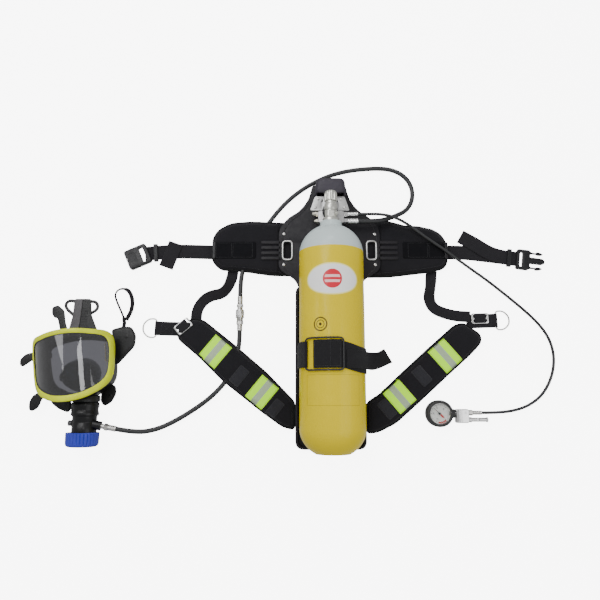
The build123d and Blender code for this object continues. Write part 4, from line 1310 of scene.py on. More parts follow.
# ---------------------------------------------------------------- hip belt
@dataclass
class HipBelt:
    """The padded hip belt: two pads, their sewn bands, the waist webbing and its loose tails."""

    left: Sequence[Point] = ((-89, 97), (-150, 98), (-218, 108), (-283, 113), (-305, 137), (-304, 199),
                             (-289, 221), (-256, 238), (-205, 242), (-89, 237))
    right: Sequence[Point] = ((89, 93), (155, 94), (255, 106), (295, 115), (307, 131), (307, 180),
                              (297, 203), (275, 220), (232, 230), (203, 230), (146, 246), (89, 239))
    top: float = 21.0
    under_wing: float = 15.6
    wing_edge: float = 133.0
    web: float = 38.0

    def build(self) -> None:
        """Makes the belt."""
        self._pad("hip_pad_left", self.left, -1)
        self._pad("hip_pad_right", self.right, 1)
        self._webs()
        self._tails()
        self._keepers()

    def _pad(self, name: str, outline: Sequence[Point], side: int) -> None:
        """One pad with its binding, stitches and sewn band.

        Args:
            name: name of the piece.
            outline: its outline seen from above, in millimetres.
            side: minus one for the left, one for the right.
        """
        pad = Cushion(outline, high=self.top)
        mesh = pad.cover(lambda x, y: self.under_wing - 0.4 if abs(x) < self.wing_edge else self.top - 0.2)
        cover = Piece(name, Finish.HIP_PAD, "pad_fabric", replaces=(name,)).add(mesh, 70)
        end = 298 if side < 0 else 302
        middle = (side * (190 + end) / 2, 162.5)
        length = end - 190.0
        band = pad.patch(middle, 0 if side > 0 else 180, length, 45, 1.6, 2.0)
        bar = sheet_plate([box_outline(8, 44, 2.5, (side * (end + 1.0), 162))], 19.6, 23.4, 1.4)
        Piece(f"{name}_band_bar", Finish.BUCKLE, "buckle_plastic").add(bar)
        Piece(f"{name}_band", Finish.PANEL, "panel_rubber", replaces=("hip_panels",)).add(band, 60)
        rows = pad.stitches(9.0)
        rows += pad.box_stitch((side * (end - 24.0), 162.5), 0, 40, 38, 1.7)
        rows += pad.box_stitch((side * (end - 73.0), 162.5), 0, 50, 38, 1.7)
        Piece(f"{name}_stitches", Finish.THREAD, "pad_fabric").add(joined(rows))
        Piece(f"{name}_binding", Finish.PAD_BINDING, "pad_fabric").add(pad.binding())

    def _web(self, route: Sequence[Point], sag: float) -> bpy.types.Mesh:
        """One strap along a level route with a slight wave in it.

        Args:
            route: points along its middle.
            sag: height of the wave, in millimetres.

        Returns:
            The mesh.
        """
        line = evenly(soften([mm(*p) for p in route], 3, closed=False), 0.006)
        wavy = [p + Vector((0, 0, mm(sag * 0.5 * (1 - math.cos(i * 0.33))))) for i, p in enumerate(line)]
        return ribbon(wavy, self.web, 2.5)

    def _webs(self) -> None:
        """The two waist webs, from inside the bands out to the buckle."""
        left = self._web([(-298, 161, 3.7), (-330, 162.2, 3.7), (-400, 164, 3.7), (-442, 161, 3.7),
                          (-482, 157, 3.7)], 0.5)
        right = self._web([(303, 161, 3.7), (330, 161, 3.7), (355, 160, 3.7), (408, 154, 3.7),
                           (450, 148.5, 3.7), (494, 142.5, 3.7)], 0.5)
        Piece("waist_webs", Finish.BELT_WEB, "belt_web",
              replaces=("waist_webs",)).add(joined([left, right]))

    def _tails(self) -> None:
        """The loose ends, doubled back over the webs."""
        left = self._web([(-402, 186, 6.4), (-408, 169, 6.8), (-414, 152, 6.6), (-420, 136, 6.8),
                          (-426, 120, 6.2)], 0.2)
        right = self._web([(345, 204, 6.4), (362, 194, 6.8), (383, 182, 6.4), (414, 161, 6.4),
                           (446, 149, 6.3), (494, 142.5, 6.3)], 0.2)
        Piece("waist_tails", Finish.BELT_WEB, "belt_web",
              replaces=("waist_tails",)).add(joined([left, right]))

    def _keepers(self) -> None:
        """The moulded loops that hold the doubled webbing."""
        loops = []
        for x, y, angle in ((-453.5, 159.5, 4.9), (470, 145.8, -7.6)):
            place = level_turn(x, y, 5.8,
                               angle) @ Matrix(((0, 0, 1, 0), (1, 0, 0, 0), (0, 1, 0, 0), (0, 0, 0, 1)))
            outer = box_outline(47, 11, 3)
            inner = box_outline(40.8, 6.2, 1.5, (0, -0.6))
            loops.append(sheet_plate([outer, inner], -5, 5, 0.7, place))
            for k in (-2.4, 0, 2.4):
                loops.append(sheet_plate([box_outline(1.0, 36, 0.4)], 0, 0.7, 0.3,
                                         level_turn(x, y, 10.9, angle)
                                         @ Matrix.Translation(mm(k, 0, 0))))
        Piece("web_keepers", Finish.BUCKLE, "buckle_plastic", replaces=("web_keepers",)).add(joined(loops))


@dataclass
class WaistBuckle:
    """The side-release buckle, lying open at the two ends of the belt."""

    female: tuple[float, float, float] = (-499.0, 148.0, 24.0)
    male: tuple[float, float, float] = (505.0, 140.5, -7.6)
    floor: float = 0.3

    def build(self) -> None:
        """Makes both halves and the springy arms."""
        self._female()
        self._male()
        for name, body, side in (("arm_upper", "arm_a", 1), ("arm_lower", "arm_b", -1)):
            self._arm(name, body, side)

    def _place(self, half: tuple[float, float, float]) -> Matrix:
        """Placement of a buckle half."""
        return level_turn(half[0], half[1], self.floor, half[2])

    def _female(self) -> None:
        """The socket half: side windows, thumb dish, webbing slot and grip ribs."""
        body = sheet_plate([box_outline(60, 53, 7)], 0, 16, 2.4, steps=5)
        cutters = [sheet_plate([box_outline(36, 44, 1.5, (-18, 0))], 3.5, 12.5, 0.5),
                   sheet_plate([box_outline(12, 60, 2.5, (-8, 0))], 3.5, 12.5, 0.5),
                   sheet_plate([box_outline(12, 41, 3, (14, 0))], -3, 20, 0.3),
                   sheet_plate([box_outline(28, 46, 2, (24, 0))], 1.5, 8.5, 0.3),
                   sheet_plate([box_outline(21, 30, 8, (-13, 0))], 15.2, 18, 0.3),
                   sheet_plate([box_outline(3.0, 14, 1.4, (-27, 0))], 11, 18, 0.3)]
        ribs = [sheet_plate([box_outline(1.6, 9, 0.7, (-8 + 3.2 * k, side * 22))], 15, 16.6, 0.4)
                for k in (-1, 0, 1) for side in (-1, 1)]
        bars = [sheet_plate([box_outline(1.4, 34, 0.6, (24 + 2.6 * k, 0))], 15.2, 16.5, 0.4) for k in (-0.6,
                0.6)]
        mesh = joined([carved(body, cutters)] + ribs + bars)
        Piece("buckle_female", Finish.BUCKLE, "buckle_plastic", replaces=("buckle_female",)).add(
            placed(mesh, self._place(self.female)), 40)

    def _male(self) -> None:
        """The plug half: ladder slot, ribbed shoulder and grooved centre tongue."""
        body = sheet_plate([box_outline(34, 53, 6)], 0, 14, 2.4, steps=5)
        cutters = [sheet_plate([box_outline(10, 41, 3, (-5, 0))], -3, 20, 0.3),
                   sheet_plate([box_outline(16, 41, 1, (-12, 0))], 1.5, 7.5, 0.3)]
        tongue = [Vector(c) for c in ((15, -8.5), (48, -8.5), (56, -4.5), (56, 4.5), (48, 8.5), (15, 8.5))]
        blade = sheet_plate([[mm(p.x, p.y) for p in rounded(tongue, 3, 5)]], 4, 11, 1.2)
        grooves = [sheet_plate([box_outline(26, 2.2, 1, (36, y))], 9.8, 14, 0.3) for y in (-3.6, 3.6)]
        ribs = [sheet_plate([box_outline(1.6, 36, 0.7, (5 + 3.2 * k, 0))], 13, 14.7, 0.4) for k in (0, 1,
                2)]
        shoulders = [sheet_plate([box_outline(5, 7, 1.5, (17.5, side * 19.5))], 4, 11, 0.6) for side in (-1,
                1)]
        mesh = joined([carved(body, cutters), carved(blade, grooves)] + ribs + shoulders)
        Piece("buckle_male", Finish.BUCKLE, "buckle_plastic", replaces=("buckle_male",)).add(
            placed(mesh, self._place(self.male)), 40)

    def _arm(self, name: str, body: str, side: int) -> None:
        """One springy arm with its arrow-shaped barb.

        Args:
            name: name of the piece.
            body: body it moves with.
            side: one for the upper arm, minus one for the lower.
        """
        half = [(17.6, 21.4), (20, 21.9), (31, 21.2), (33.5, 24.2), (38, 24.4), (45, 22.8), (50.4, 20.2),
                (49.6, 18.2), (44, 16.2), (37, 16.2), (32.5, 18.1), (20, 17.9), (17.6, 18.2)]
        outline = [mm(p.x, p.y * side) for p in rounded([Vector(c) for c in half], 1.4, 4)]
        parts = [sheet_plate([outline], 4, 11, 0.9)]
        for k in range(4):
            parts.append(sheet_plate([box_outline(1.0, 5.5, 0.4, (36.5 + 2.6 * k, side * 20.2))], 10.6,
                                     11.6, 0.3))
        Piece(name, Finish.BUCKLE, "buckle_plastic", body,
              (name,)).add(placed(joined(parts), self._place(self.male)))


# ---------------------------------------------------------------- shoulder straps
@dataclass
class ShoulderStraps:
    """Two padded shoulder straps with safety patches, lower webbing, adjusters and rings."""

    left: Sequence[Point] = ((-89.5, -225), (-161, -152), (-239, -86), (-322, -20), (-350, -13),
                             (-390, -44), (-386, -67), (-334, -110), (-269, -173), (-171, -249),
                             (-120, -285), (-89.5, -293))
    right: Sequence[Point] = ((89.5, -227), (126, -204), (168, -164), (244, -96), (318, -32), (342, -26),
                              (384, -57), (383, -77), (354, -107), (298, -156), (222, -224), (162, -276),
                              (118, -298), (89.5, -302))
    top: float = 20.0
    web: float = 29.0
    bright_left: Sequence[Point] = ((-291, -101), (-172, -202))
    bright_right: Sequence[Point] = ((289, -111), (169.5, -210))
    hooked: Sequence[tuple[float, float, float, float]] = ((228, -161, 30, 50), (139, -242, 28, 50))
    bar_z: float = 4.9

    def build(self) -> None:
        """Makes both straps."""
        self._pad("shoulder_pad_left", self.left, -1, 140.5)
        self._pad("shoulder_pad_right", self.right, 1, 40.5)
        self._webs()
        self._adjusters()
        self._ring("d_ring_left", "ring_left", (-444, -39, 178))
        self._ring("d_ring_right", "ring_right", (426, -19, 2))
        self._tabs()

    def _pad(self, name: str, outline: Sequence[Point], side: int, angle: float) -> None:
        """One pad with its patches, tapes, binding and stitches.

        Args:
            name: the pad's name.
            outline: its outline in millimetres.
            side: -1 for the wearer's one side, 1 for the other.
            angle: the pad's own direction, in degrees.
        """
        pad = Cushion(outline, high=self.top, corner=11.0)
        cover = Piece(name, Finish.PAD, "pad_fabric", replaces=(name,)).add(
            pad.cover(lambda x, y: self.top + 0.2), 70)
        rows = pad.stitches(6.5)
        patches, tapes = [], []
        for spot in self.bright_left if side < 0 else self.bright_right:
            patches.append(pad.patch(spot, angle + 90, 71, 54, 0.9))
            rows += pad.box_stitch(spot, angle, 50, 67, 1.0)
        for x, y, long, wide in self.hooked:
            tapes.append(pad.patch((side * x, y), angle + 90, wide, long, 1.5, 1.5))
            rows += pad.box_stitch((side * x, y), angle, long - 4, wide - 4, 1.6)
        Piece(f"{name}_bright_patches", Finish.HI_VIS, "pad_fabric").add(joined(patches), 60)
        Piece(f"{name}_hook_tapes", Finish.HOOK_TAPE, "pad_fabric").add(joined(tapes), 60)
        Piece(f"{name}_stitches", Finish.THREAD, "pad_fabric").add(joined(rows))
        Piece(f"{name}_binding", Finish.PAD_BINDING, "pad_fabric").add(pad.binding())

    def _webs(self) -> None:
        """The lower webbing that curves from each adjuster back under the hip pad."""
        routes = ([(-344, -22, 1.6), (-342, 10, 1.7), (-326, 34, 2.0), (-304, 46, 2.4), (-278, 50, 3.2),
                   (-262, 66, 5.5), (-253, 92, 5.0), (-250, 116, 1.8)],
                  [(360, -10, 6.6), (349, -9, 5.4), (336, -8, 2.4), (320, -6, 1.8), (292, 1, 2.2),
                   (266, 13, 4.2), (255, 37, 7.0), (261, 70, 5.5), (267, 112, 1.8)])
        webs = []
        for route in routes:
            line = evenly(soften([mm(*p) for p in route], 3, closed=False), 0.005)
            ups = []
            for i, p in enumerate(line):
                run = (line[min(i + 1, len(line) - 1)] - line[max(i - 1, 0)]).normalized()
                turn = 0.7 * min(1.0, max(0.0, (p.y - 0.03) / 0.03)) * min(1.0,
                        max(0.0, (0.102 - p.y) / 0.03))
                up = Vector((0, 0, 1)) + Vector((-run.y, run.x, 0)) * turn * math.copysign(1.0, p.x)
                ups.append(up.normalized())
                p.z = max(p.z, mm(self.web / 2) * ups[-1].xy.length + mm(1.6))
            webs.append(ribbon(line, self.web, 2.5, ups))
        Piece("shoulder_webs", Finish.BELT_WEB, "belt_web", replaces=("shoulder_webs",)).add(joined(webs))

    def _adjusters(self) -> None:
        """The plated two-slot adjusters."""
        frames, folds = [], []
        for x, y, z, angle in ((-372, -36, 20, 40), (385, -14, 5.5, 2)):
            over = [(0, -12.5, 1.4), (0, -10.5, 4.2), (0, -5, 5.0), (0, 0, 4.6), (0, 5, 5.0),
                    (0, 10.5, 4.2), (0, 12.5, 1.4)]
            fold = ribbon(evenly(soften([mm(*p) for p in over], 2, closed=False), 0.002), self.web, 2.0)
            folds.append(placed(fold, level_turn(x, y, z, angle)))
            outlines = [box_outline(44, 27, 5), box_outline(34, 7, 2, (0, 6)),
                        box_outline(34, 7, 2, (0, -6))]
            frames.append(sheet_plate(outlines, 0, 3.4, 1.2, level_turn(x, y, z, angle), steps=5))
        Piece("adjuster_webs", Finish.BELT_WEB, "belt_web").add(joined(folds))
        Piece("adjusters", Finish.CHROME, "ring_steel", replaces=("adjusters",)).add(joined(frames))

    def _ring(self, name: str, body: str, place: tuple[float, float, float]) -> None:
        """One welded D-ring.

        Args:
            name: name of the piece.
            body: body it moves with.
            place: where it stands.
        """
        corners = [(0, -24), (0, 24), (20, 24), (34, 10), (34, -10), (20, -24)]
        line = rounded([Vector(c) for c in corners], 9.0, 8)
        spots = evenly([mm(p.x, p.y, 0) for p in line + line[:1]], 0.0022)[:-1]
        ring = wire(spots, 2.0, closed=True, sides=16)
        weld = lathe([(0.2, -3), (2.15, -3), (2.35, 0), (2.15, 3), (0.2, 3)], facing((0, 12, 0), (0, 1, 0)),
                     20)
        mesh = placed(joined([ring, weld]), level_turn(place[0], place[1], self.bar_z, place[2]))
        Piece(name, Finish.STEEL, "ring_steel", body, (name,)).add(mesh)

    def _tabs(self) -> None:
        """The folded webbing tabs that hold the rings, box stitched."""
        tabs, rows = [], []
        for x, y, angle, length in ((-444, -39, 178, 66), (426, -19, 2, 75)):
            place = level_turn(x, y, 0, angle)
            low = [(-length, 1.6), (-length * 0.6, 1.6), (-8, 1.6), (-3, 1.6)]
            around = [(3.3 * math.cos(t), self.bar_z + 3.3 * math.sin(t))
                      for t in [math.radians(-90 + 20 * k) for k in range(10)]]
            high = [(-4, 6.6), (-9, 4.3), (-length * 0.6, 4.25), (-length + 5, 4.25)]
            line = evenly([mm(u, 0, w) for u, w in low + around + high], 0.0011)
            ups = []
            for i in range(len(line)):
                run = (line[min(i + 1, len(line) - 1)] - line[max(i - 1, 0)]).normalized()
                ups.append(Vector((run.z, 0, -run.x)))
            tabs.append(placed(ribbon(line, 36, 2.3, ups), place))
            for a, b in (((-12, -14), (-42, -14)), ((-42, -14), (-42, 14)), ((-42, 14), (-12, 14)),
                         ((-12, 14), (-12, -14)), ((-12, -14), (-42, 14)), ((-12, 14), (-42, -14))):
                run = evenly([mm(*a, 5.5), mm(*b, 5.5)], 0.004)
                rows += [placed(stitch, place) for stitch in stitch_row(run)]
        Piece("d_ring_tabs", Finish.BELT_WEB, "belt_web", replaces=("d_ring_tabs",)).add(joined(tabs))
        Piece("d_ring_tab_stitches", Finish.THREAD, "belt_web").add(joined(rows))


# ---------------------------------------------------------------- camera, light and floor
APPARATUS_MIDDLE = (0.0, 0.0, 0.0)
MASK_MIDDLE = (-0.62, -0.14, 0.1)


@dataclass(frozen=True)
class Lamp:
    """A square soft light: where it hangs, what it points at, its side in metres and its power."""

    name: str
    place: Point
    aim: Point
    size: float
    power: float


@dataclass
class Studio:
    """Camera, soft lights and the pale floor."""

    lamps: tuple[Lamp, ...] = (
        Lamp("key_light", (-0.9, 1.0, 2.0), APPARATUS_MIDDLE, 1.2, 26.0),
        Lamp("fill_light", (1.5, -0.6, 1.9), APPARATUS_MIDDLE, 1.6, 14.0),
        Lamp("strip_light", (-0.15, 1.6, 1.3), (-0.2, 0.0, 0.05), 0.5, 7.0),
        Lamp("left_panel", (-1.15, 0.1, 0.9), MASK_MIDDLE, 0.35, 1.2),
        Lamp("narrow_panel", (-0.28, 0.0, 1.2), MASK_MIDDLE, 0.22, 0.8))

    eye: Point = (-76.3, -220.0, 1455.0)
    tilt: float = 9.95
    lens: float = 34.2
    sensor: float = 36.0
    floor_half: float = 40.0
    floor_gap: float = 0.0002
    sight: float = 120.0
    surround: float = 0.6

    def build(self) -> None:
        """Makes the camera, the lights and the floor."""
        self._camera()
        self._world()
        for lamp in self.lamps:
            self._light(lamp)
        self._floor()

    def _camera(self) -> None:
        """Looks down on the apparatus, a little from its base end."""
        data = bpy.data.cameras.new("camera")
        data.lens = self.lens
        data.sensor_width = self.sensor
        data.clip_end = self.sight
        camera = bpy.data.objects.new("camera", data)
        camera.location = mm(*self.eye)
        camera.rotation_euler = (math.radians(self.tilt), 0.0, 0.0)
        bpy.context.scene.collection.objects.link(camera)
        bpy.context.scene.camera = camera

    def _world(self) -> None:
        """An even white surround."""
        world = bpy.data.worlds.new("studio")
        world.use_nodes = True
        shade = world.node_tree.nodes["Background"]
        shade.inputs["Color"].default_value = (1.0, 1.0, 1.0, 1.0)
        shade.inputs["Strength"].default_value = self.surround
        bpy.context.scene.world = world

    def _light(self, lamp: Lamp) -> None:
        """Adds one soft panel light aimed at a point.

        Args:
            lamp: the light to add.
        """
        data = bpy.data.lights.new(lamp.name, "AREA")
        data.size = lamp.size
        data.energy = lamp.power
        light = bpy.data.objects.new(lamp.name, data)
        light.location = lamp.place
        light.rotation_euler = (Vector(lamp.aim) - Vector(lamp.place)).to_track_quat("-Z", "Y").to_euler()
        bpy.context.scene.collection.objects.link(light)

    def _floor(self) -> None:
        """The floor, level with the apparatus's underside."""
        half = self.floor_half
        corners = [(-half, -half, 0), (half, -half, 0), (half, half, 0), (-half, half, 0)]
        mesh = mesh_from(corners, [(0, 1, 2, 3)])
        floor = bpy.data.objects.new("floor", mesh)
        floor.location.z = CAD_LOW[2] - self.floor_gap
        mesh.materials.append(Finish.FLOOR.material())
        bpy.context.scene.collection.objects.link(floor)
        floor.visible_diffuse = floor.visible_glossy = floor.visible_transmission = False


# ---------------------------------------------------------------- hoses
@dataclass
class Hoses:
    """The two pressure hoses, their quick coupler and ferrules."""

    thick: float = 12.0
    thin: float = 7.5
    port_z: float = 52.0
    coupler: Point = (-230.0, 42.0, 12.0)
    coupler_length: float = 88.0
    socket_start: float = 33.3
    upper_route: tuple[Point, ...] = (
        (72, 231, 52), (100, 231, 52), (136, 236, 42), (172, 253, 26), (205, 272, 13), (223, 303, 7),
        (223, 339, 7), (205, 370, 7), (174, 388, 7), (138, 393, 7), (98, 391, 7), (55, 386, 7),
        (10, 375, 7), (-33, 356, 7), (-72, 332, 7), (-107, 303, 7), (-136, 271, 7), (-160, 238, 7),
        (-183, 206, 7), (-203, 174, 7), (-218, 140, 7), (-227, 104, 9), (-230, 72, 12), (-230, 42, 12),
    )
    lower_route: tuple[Point, ...] = (
        (-230, -46, 12), (-230, -76, 12), (-235, -110, 8), (-247, -146, 7), (-268, -181, 7),
        (-301, -215, 7), (-344, -246, 7), (-389, -273, 8), (-430, -292, 19), (-474, -298.4, 37.3),
        (-521, -289, 44),
    )
    gauge_route: tuple[Point, ...] = (
        (72, 250, 52), (97, 250, 52), (128, 249, 56), (163, 243, 54), (200, 227, 44), (234, 204, 34),
        (266, 182, 31), (299, 160, 29), (334, 137, 19), (372, 113, 8), (408, 88, 4), (444, 58, 4),
        (480, 27, 4), (514, -4, 4), (543, -36, 4), (562, -70, 4), (569, -107, 4), (565, -144, 4),
        (551, -180, 4), (528, -212, 4), (495, -234, 6), (457, -246, 12), (415, -251, 16), (373, -251, 16),
    )

    def build(self) -> None:
        """Makes the hoses and the pieces on them."""
        upper = self._hose("thick_hose_upper", self.upper_route, self.thick)
        lower = self._hose("thick_hose_lower", self.lower_route, self.thick)
        gauge = self._hose("gauge_hose", self.gauge_route, self.thin)
        plug, sleeve, socket = self._coupler()
        ferrule = self._ferrules()

    def _hose(self, name: str, route: Sequence[Point], diameter: float) -> bpy.types.Object:
        """One hose as a smooth spline through its route's control points.

        Args:
            name: name of the piece.
            route: points along its middle.
            diameter: diameter in millimetres.

        Returns:
            The object.
        """
        curve = bpy.data.curves.new(name, "CURVE")
        curve.dimensions = "3D"
        spline = curve.splines.new("NURBS")
        spline.points.add(len(route) - 1)
        for point, place in zip(spline.points, route):
            point.co = (*mm(*place), 1.0)
        spline.order_u = 3
        spline.use_endpoint_u = True
        spline.resolution_u = 10
        curve.bevel_depth = mm(diameter / 2)
        curve.bevel_resolution = 6
        curve.use_fill_caps = True
        piece = Piece(name, Finish.HOSE, "hose_rubber", replaces=(name,))
        hose = bpy.data.objects.new(piece.label(), curve)
        curve.materials.append(Finish.HOSE.material())
        bpy.context.scene.collection.objects.link(hose)
        return piece.join(hose)

    def _hex(self, flats: float, low: float, high: float, matrix: Matrix) -> bpy.types.Mesh:
        """A chamfered hexagon nut of that corner radius, in millimetres.

        Args:
            flats: width across the flats, in millimetres.
            low: lower end.
            high: upper end.
            matrix: where it goes.

        Returns:
            The mesh.
        """
        rings = []
        for radius, height in ((flats - 0.8, low), (flats, low + 0.7), (flats, high - 0.7),
                               (flats - 0.8, high)):
            rings.append([mm(radius * math.cos(math.tau * i / 6), radius * math.sin(math.tau * i / 6),
                             height)
                          for i in range(6)])
        return placed(loft(rings), matrix)

    def _crimp(self, low: float, high: float, radius: float, matrix: Matrix) -> bpy.types.Mesh:
        """A ferrule swaged on to the hose, with pressed rings.

        Args:
            low: lower end.
            high: upper end.
            radius: radius in millimetres.
            matrix: where it goes.

        Returns:
            The mesh.
        """
        profile = [(radius - 0.9, low), (radius - 0.3, low + 0.4)]
        reach = low + 1.5
        while reach < high - 3.0:
            profile += [(radius, reach), (radius, reach + 1.6), (radius - 0.55, reach + 2.3),
                        (radius - 0.55, reach + 3.1)]
            reach += 3.8
        profile += [(radius, high - 1.0), (radius - 0.4, high)]
        return lathe([(0.2, low)] + profile + [(0.2, high)], matrix, 40)

    def _coupler(self) -> tuple[bpy.types.Object, bpy.types.Object, bpy.types.Object]:
        """The quick coupler's plug, sliding sleeve and socket.

        Returns:
            The three pieces.
        """
        place = facing(self.coupler, (0, -1, 0))
        plug = joined([
            self._crimp(0, 20, 7.0, place), self._hex(8.4, 20, 28, place),
            lathe([(0.2, 27.8), (7.0, 28), (7.0, 32.6), (6.6, 33), (5.0, 33), (5.0, 36), (4.4, 36.6),
                   (4.4, 39), (5.0, 39.6), (5.0, 44.6), (4.2, 46), (0.2, 46)], place, 40)])
        start = self.socket_start

        def knurl(radius: float, height: float, angle: float) -> float:
            """Fine straight grooves round the sleeve's grip."""
            grip = start + 5.0 < height < start + 17.0
            return radius - (0.35 * (0.5 + 0.5 * math.cos(angle * 36)) if grip else 0.0)

        s = start + 2.0
        sleeve_line = [(8.5, s), (10.6, s), (11.0, s + 0.5), (11.0, s + 2.2), (10.3, s + 2.8),
                       (10.3, s + 3.6),
                       (10.9, s + 4.1)] + [(10.9, s + 4.1 + 2.0 * k) for k in range(1, 6)] + \
                      [(10.3, s + 15.2), (10.3, s + 16.2), (11.0, s + 16.9), (11.0, s + 19.4),
                       (10.5, s + 20), (8.5, s + 20), (8.5, s)]
        sleeve = lathe(sleeve_line, place, 144, knurl)
        socket = joined([
            lathe([(5.2, start), (7.6, start), (8.2, start + 0.6), (8.2, start + 29.4), (7.7, start + 30),
                   (0.2, start + 30), (0.2, start + 13.9), (5.2, start + 13.9), (5.2, start)], place, 48),
            self._hex(8.9, start + 30, start + 39, place),
            self._crimp(start + 39, self.coupler_length, 7.0, place)])
        made = []
        for name, mesh, body in (("coupler_plug", plug, ROOT), ("coupler_sleeve", sleeve, "sleeve"),
                                 ("coupler_socket", socket, ROOT)):
            made.append(Piece(name, Finish.CHROME if body != ROOT else Finish.STEEL, "fitting_chrome", body,
                              (name,)).add(mesh, 40))
        return tuple(made)

    def _ferrules(self) -> bpy.types.Object:
        """The crimped ferrules at the demand valve and at the whistle block.

        Returns:
            The object.
        """
        valve_end = facing(self.lower_route[-1], (-35, 7, 5))
        gauge_end = facing((340, -251, 16), (1, 0, 0))
        valve_mesh = joined([
            self._crimp(0, 20, 7.2, valve_end), self._hex(8.5, 20, 28, valve_end),
            lathe([(0.2, 27.9), (5.9, 28), (5.9, 36), (0.2, 36)], valve_end, 32)])
        gauge_mesh = joined([self._hex(6.9, 0, 11, gauge_end), self._crimp(11, 33, 5.2, gauge_end)])
        Piece("gauge_hose_ferrule", Finish.STEEL, "fitting_chrome").add(gauge_mesh, 40)
        return Piece("hose_ferrules", Finish.STEEL, "fitting_chrome",
                     replaces=("hose_ferrules",)).add(valve_mesh, 40)


# ---------------------------------------------------------------- cylinder and its valve
@dataclass
class AirCylinder:
    """The composite cylinder, its valve and hand controls."""

    radius: float = 78.0
    axis_z: float = 100.0
    base_y: float = -343.0
    base_start_y: float = -285.0
    base_flat: float = 42.0
    shoulder_y: float = 130.0
    shoulder_end_y: float = 200.0
    neck_radius: float = 27.5
    top_y: float = 213.0
    outlet_y: float = 250.0

    def build(self) -> None:
        """Makes the cylinder and its valve."""
        self._wrap()
        self._neck_ring()
        self._valve()
        self._knob()
        self._handwheel()

    def _dome(self, start: float, end: float, small: float, steps: int = 20) -> list[Point]:
        """Elliptical end from the full radius at start to the small radius at end.

        Args:
            start: where it begins.
            end: where it ends.
            small: its smaller radius.
            steps: number of points.

        Returns:
            Radius and height at each point.
        """
        angle = math.asin(small / self.radius)
        length = (end - start) / math.cos(angle)
        return [(self.radius * math.cos(a), start + length * math.sin(a)) for a in
                [(math.pi / 2 - angle) * k / steps for k in range(steps + 1)]]

    def _axis(self) -> Matrix:
        """Local +Z along the cylinder."""
        return facing((0, 0, self.axis_z), (0, 1, 0))

    def _wrap(self) -> None:
        """The wound outer shell."""
        base = self._dome(self.base_start_y, self.base_y + 1.2, self.base_flat)[::-1]
        long = self.shoulder_y - self.base_start_y
        body = [(self.radius, self.base_start_y + long * k / 24) for k in range(1, 24)]
        top = self._dome(self.shoulder_y, self.shoulder_end_y, self.neck_radius)
        neck = [(27.2, 201.2), (26.6, 202.4), (26.4, self.top_y - 1.0), (25.6, self.top_y - 0.1),
                (20.0, self.top_y)]
        flat = [(0.3, self.base_y + 2.2), (12.0, self.base_y + 2.0), (30.0, self.base_y + 0.8),
                (38.0, self.base_y + 0.1), (41.0, self.base_y + 0.5)]
        inside = [(19.8, self.top_y - 0.1), (19.8, self.top_y - 8), (0.3, self.top_y - 8)]
        mesh = lathe(flat + base + body + top + neck + inside, self._axis(), 160)
        Piece("cylinder_wrap", Finish.CYLINDER, "wrap_paint", replaces=("cylinder_wrap",)).add(mesh, 50)

    def _neck_ring(self) -> None:
        """The alloy liner's neck, seen as a ring round the valve."""
        line = [(12.6, 190), (19.5, 190), (19.5, 212.6), (19.0, 213.2), (13.2, 213.2), (12.6, 212.6),
                (12.6, 190)]
        Piece("cylinder_liner", Finish.NECK, "liner_aluminium", replaces=("cylinder_liner",)).add(
            lathe(line, self._axis(), 64))

    def _valve(self) -> None:
        """The valve body: collar, flats, shoulder, spindle gland, bursting disc and the outlet stub."""
        axis = self._axis()

        def flats(radius: float, height: float, angle: float) -> float:
            """Wrench flats on the collar above the neck.

            Args:
                radius: radius of the plain shape, in millimetres.
                height: height along the axis, in millimetres.
                angle: direction round the axis, in radians.

            Returns:
                The changed radius.
            """
            if 224.0 < height < 240.0 and radius > 12.0:
                return min(radius,
                           14.2 / max(0.5,
                                      abs(math.cos(((angle + math.pi / 4) % (math.pi / 2)) - math.pi / 4))))
            return radius

        body = [(0.3, 190), (12.4, 190), (12.4, 213.4), (19.4, 213.4), (20.0, 214.0), (20.0, 220.6),
                (19.2, 221.8), (16.4, 222.6),
                (15.6, 224.5)] + [(16.0, 225.0 + 2.4 * k) for k in range(7)] + \
               [(15.2, 240.6), (14.4, 241.4), (14.4, 243.0), (15.6, 244.2), (16.0, 245.4), (16.0, 257.4),
                (15.4, 258.8), (14.2, 259.6), (13.5, 260.6), (13.5, 265.2), (12.9, 266.0), (4.5, 266.0),
                (4.5, 282.8), (0.3, 283.0)]
        outlet = facing((0, self.outlet_y, 66), (0, 0, 1))
        thread = [(0.3, 0.0), (8.6, 0.0), (9.4, 0.8)]
        for k in range(9):
            thread += [(9.95, 1.6 + 1.6 * k), (9.3, 2.4 + 1.6 * k)]
        thread += [(9.9, 17.0), (9.9, 24.0), (0.3, 24.0)]
        disc = facing((9.0, 232.0, self.axis_z + 9.0), (1, 0, 1))
        burst = joined([Hoses()._hex(5.2, 3.0, 8.6, disc),
                        lathe([(0.3, 8.4), (3.4, 8.6), (3.4, 10.2), (2.9, 10.6), (0.3, 10.6)], disc, 32)])
        mesh = joined([lathe(body, axis, 96, flats), lathe(thread, outlet, 56), burst])
        Piece("valve_body", Finish.VALVE_METAL, "valve_brass", replaces=("valve_body",)).add(mesh, 30)

    def _knob(self) -> None:
        """The ribbed hand knob on the valve spindle."""
        start = facing((0, 266.6, self.axis_z), (0, 1, 0))

        def ribs(radius: float, height: float, angle: float) -> float:
            """Twelve soft finger flutes that fade out at the domed end."""
            fade = max(0.0, min(1.0, (22.5 - height) / 5.0))
            return radius - (1.7 * fade * max(0.0, math.cos(12 * angle)) ** 2 if radius > 12.0 else 0.0)

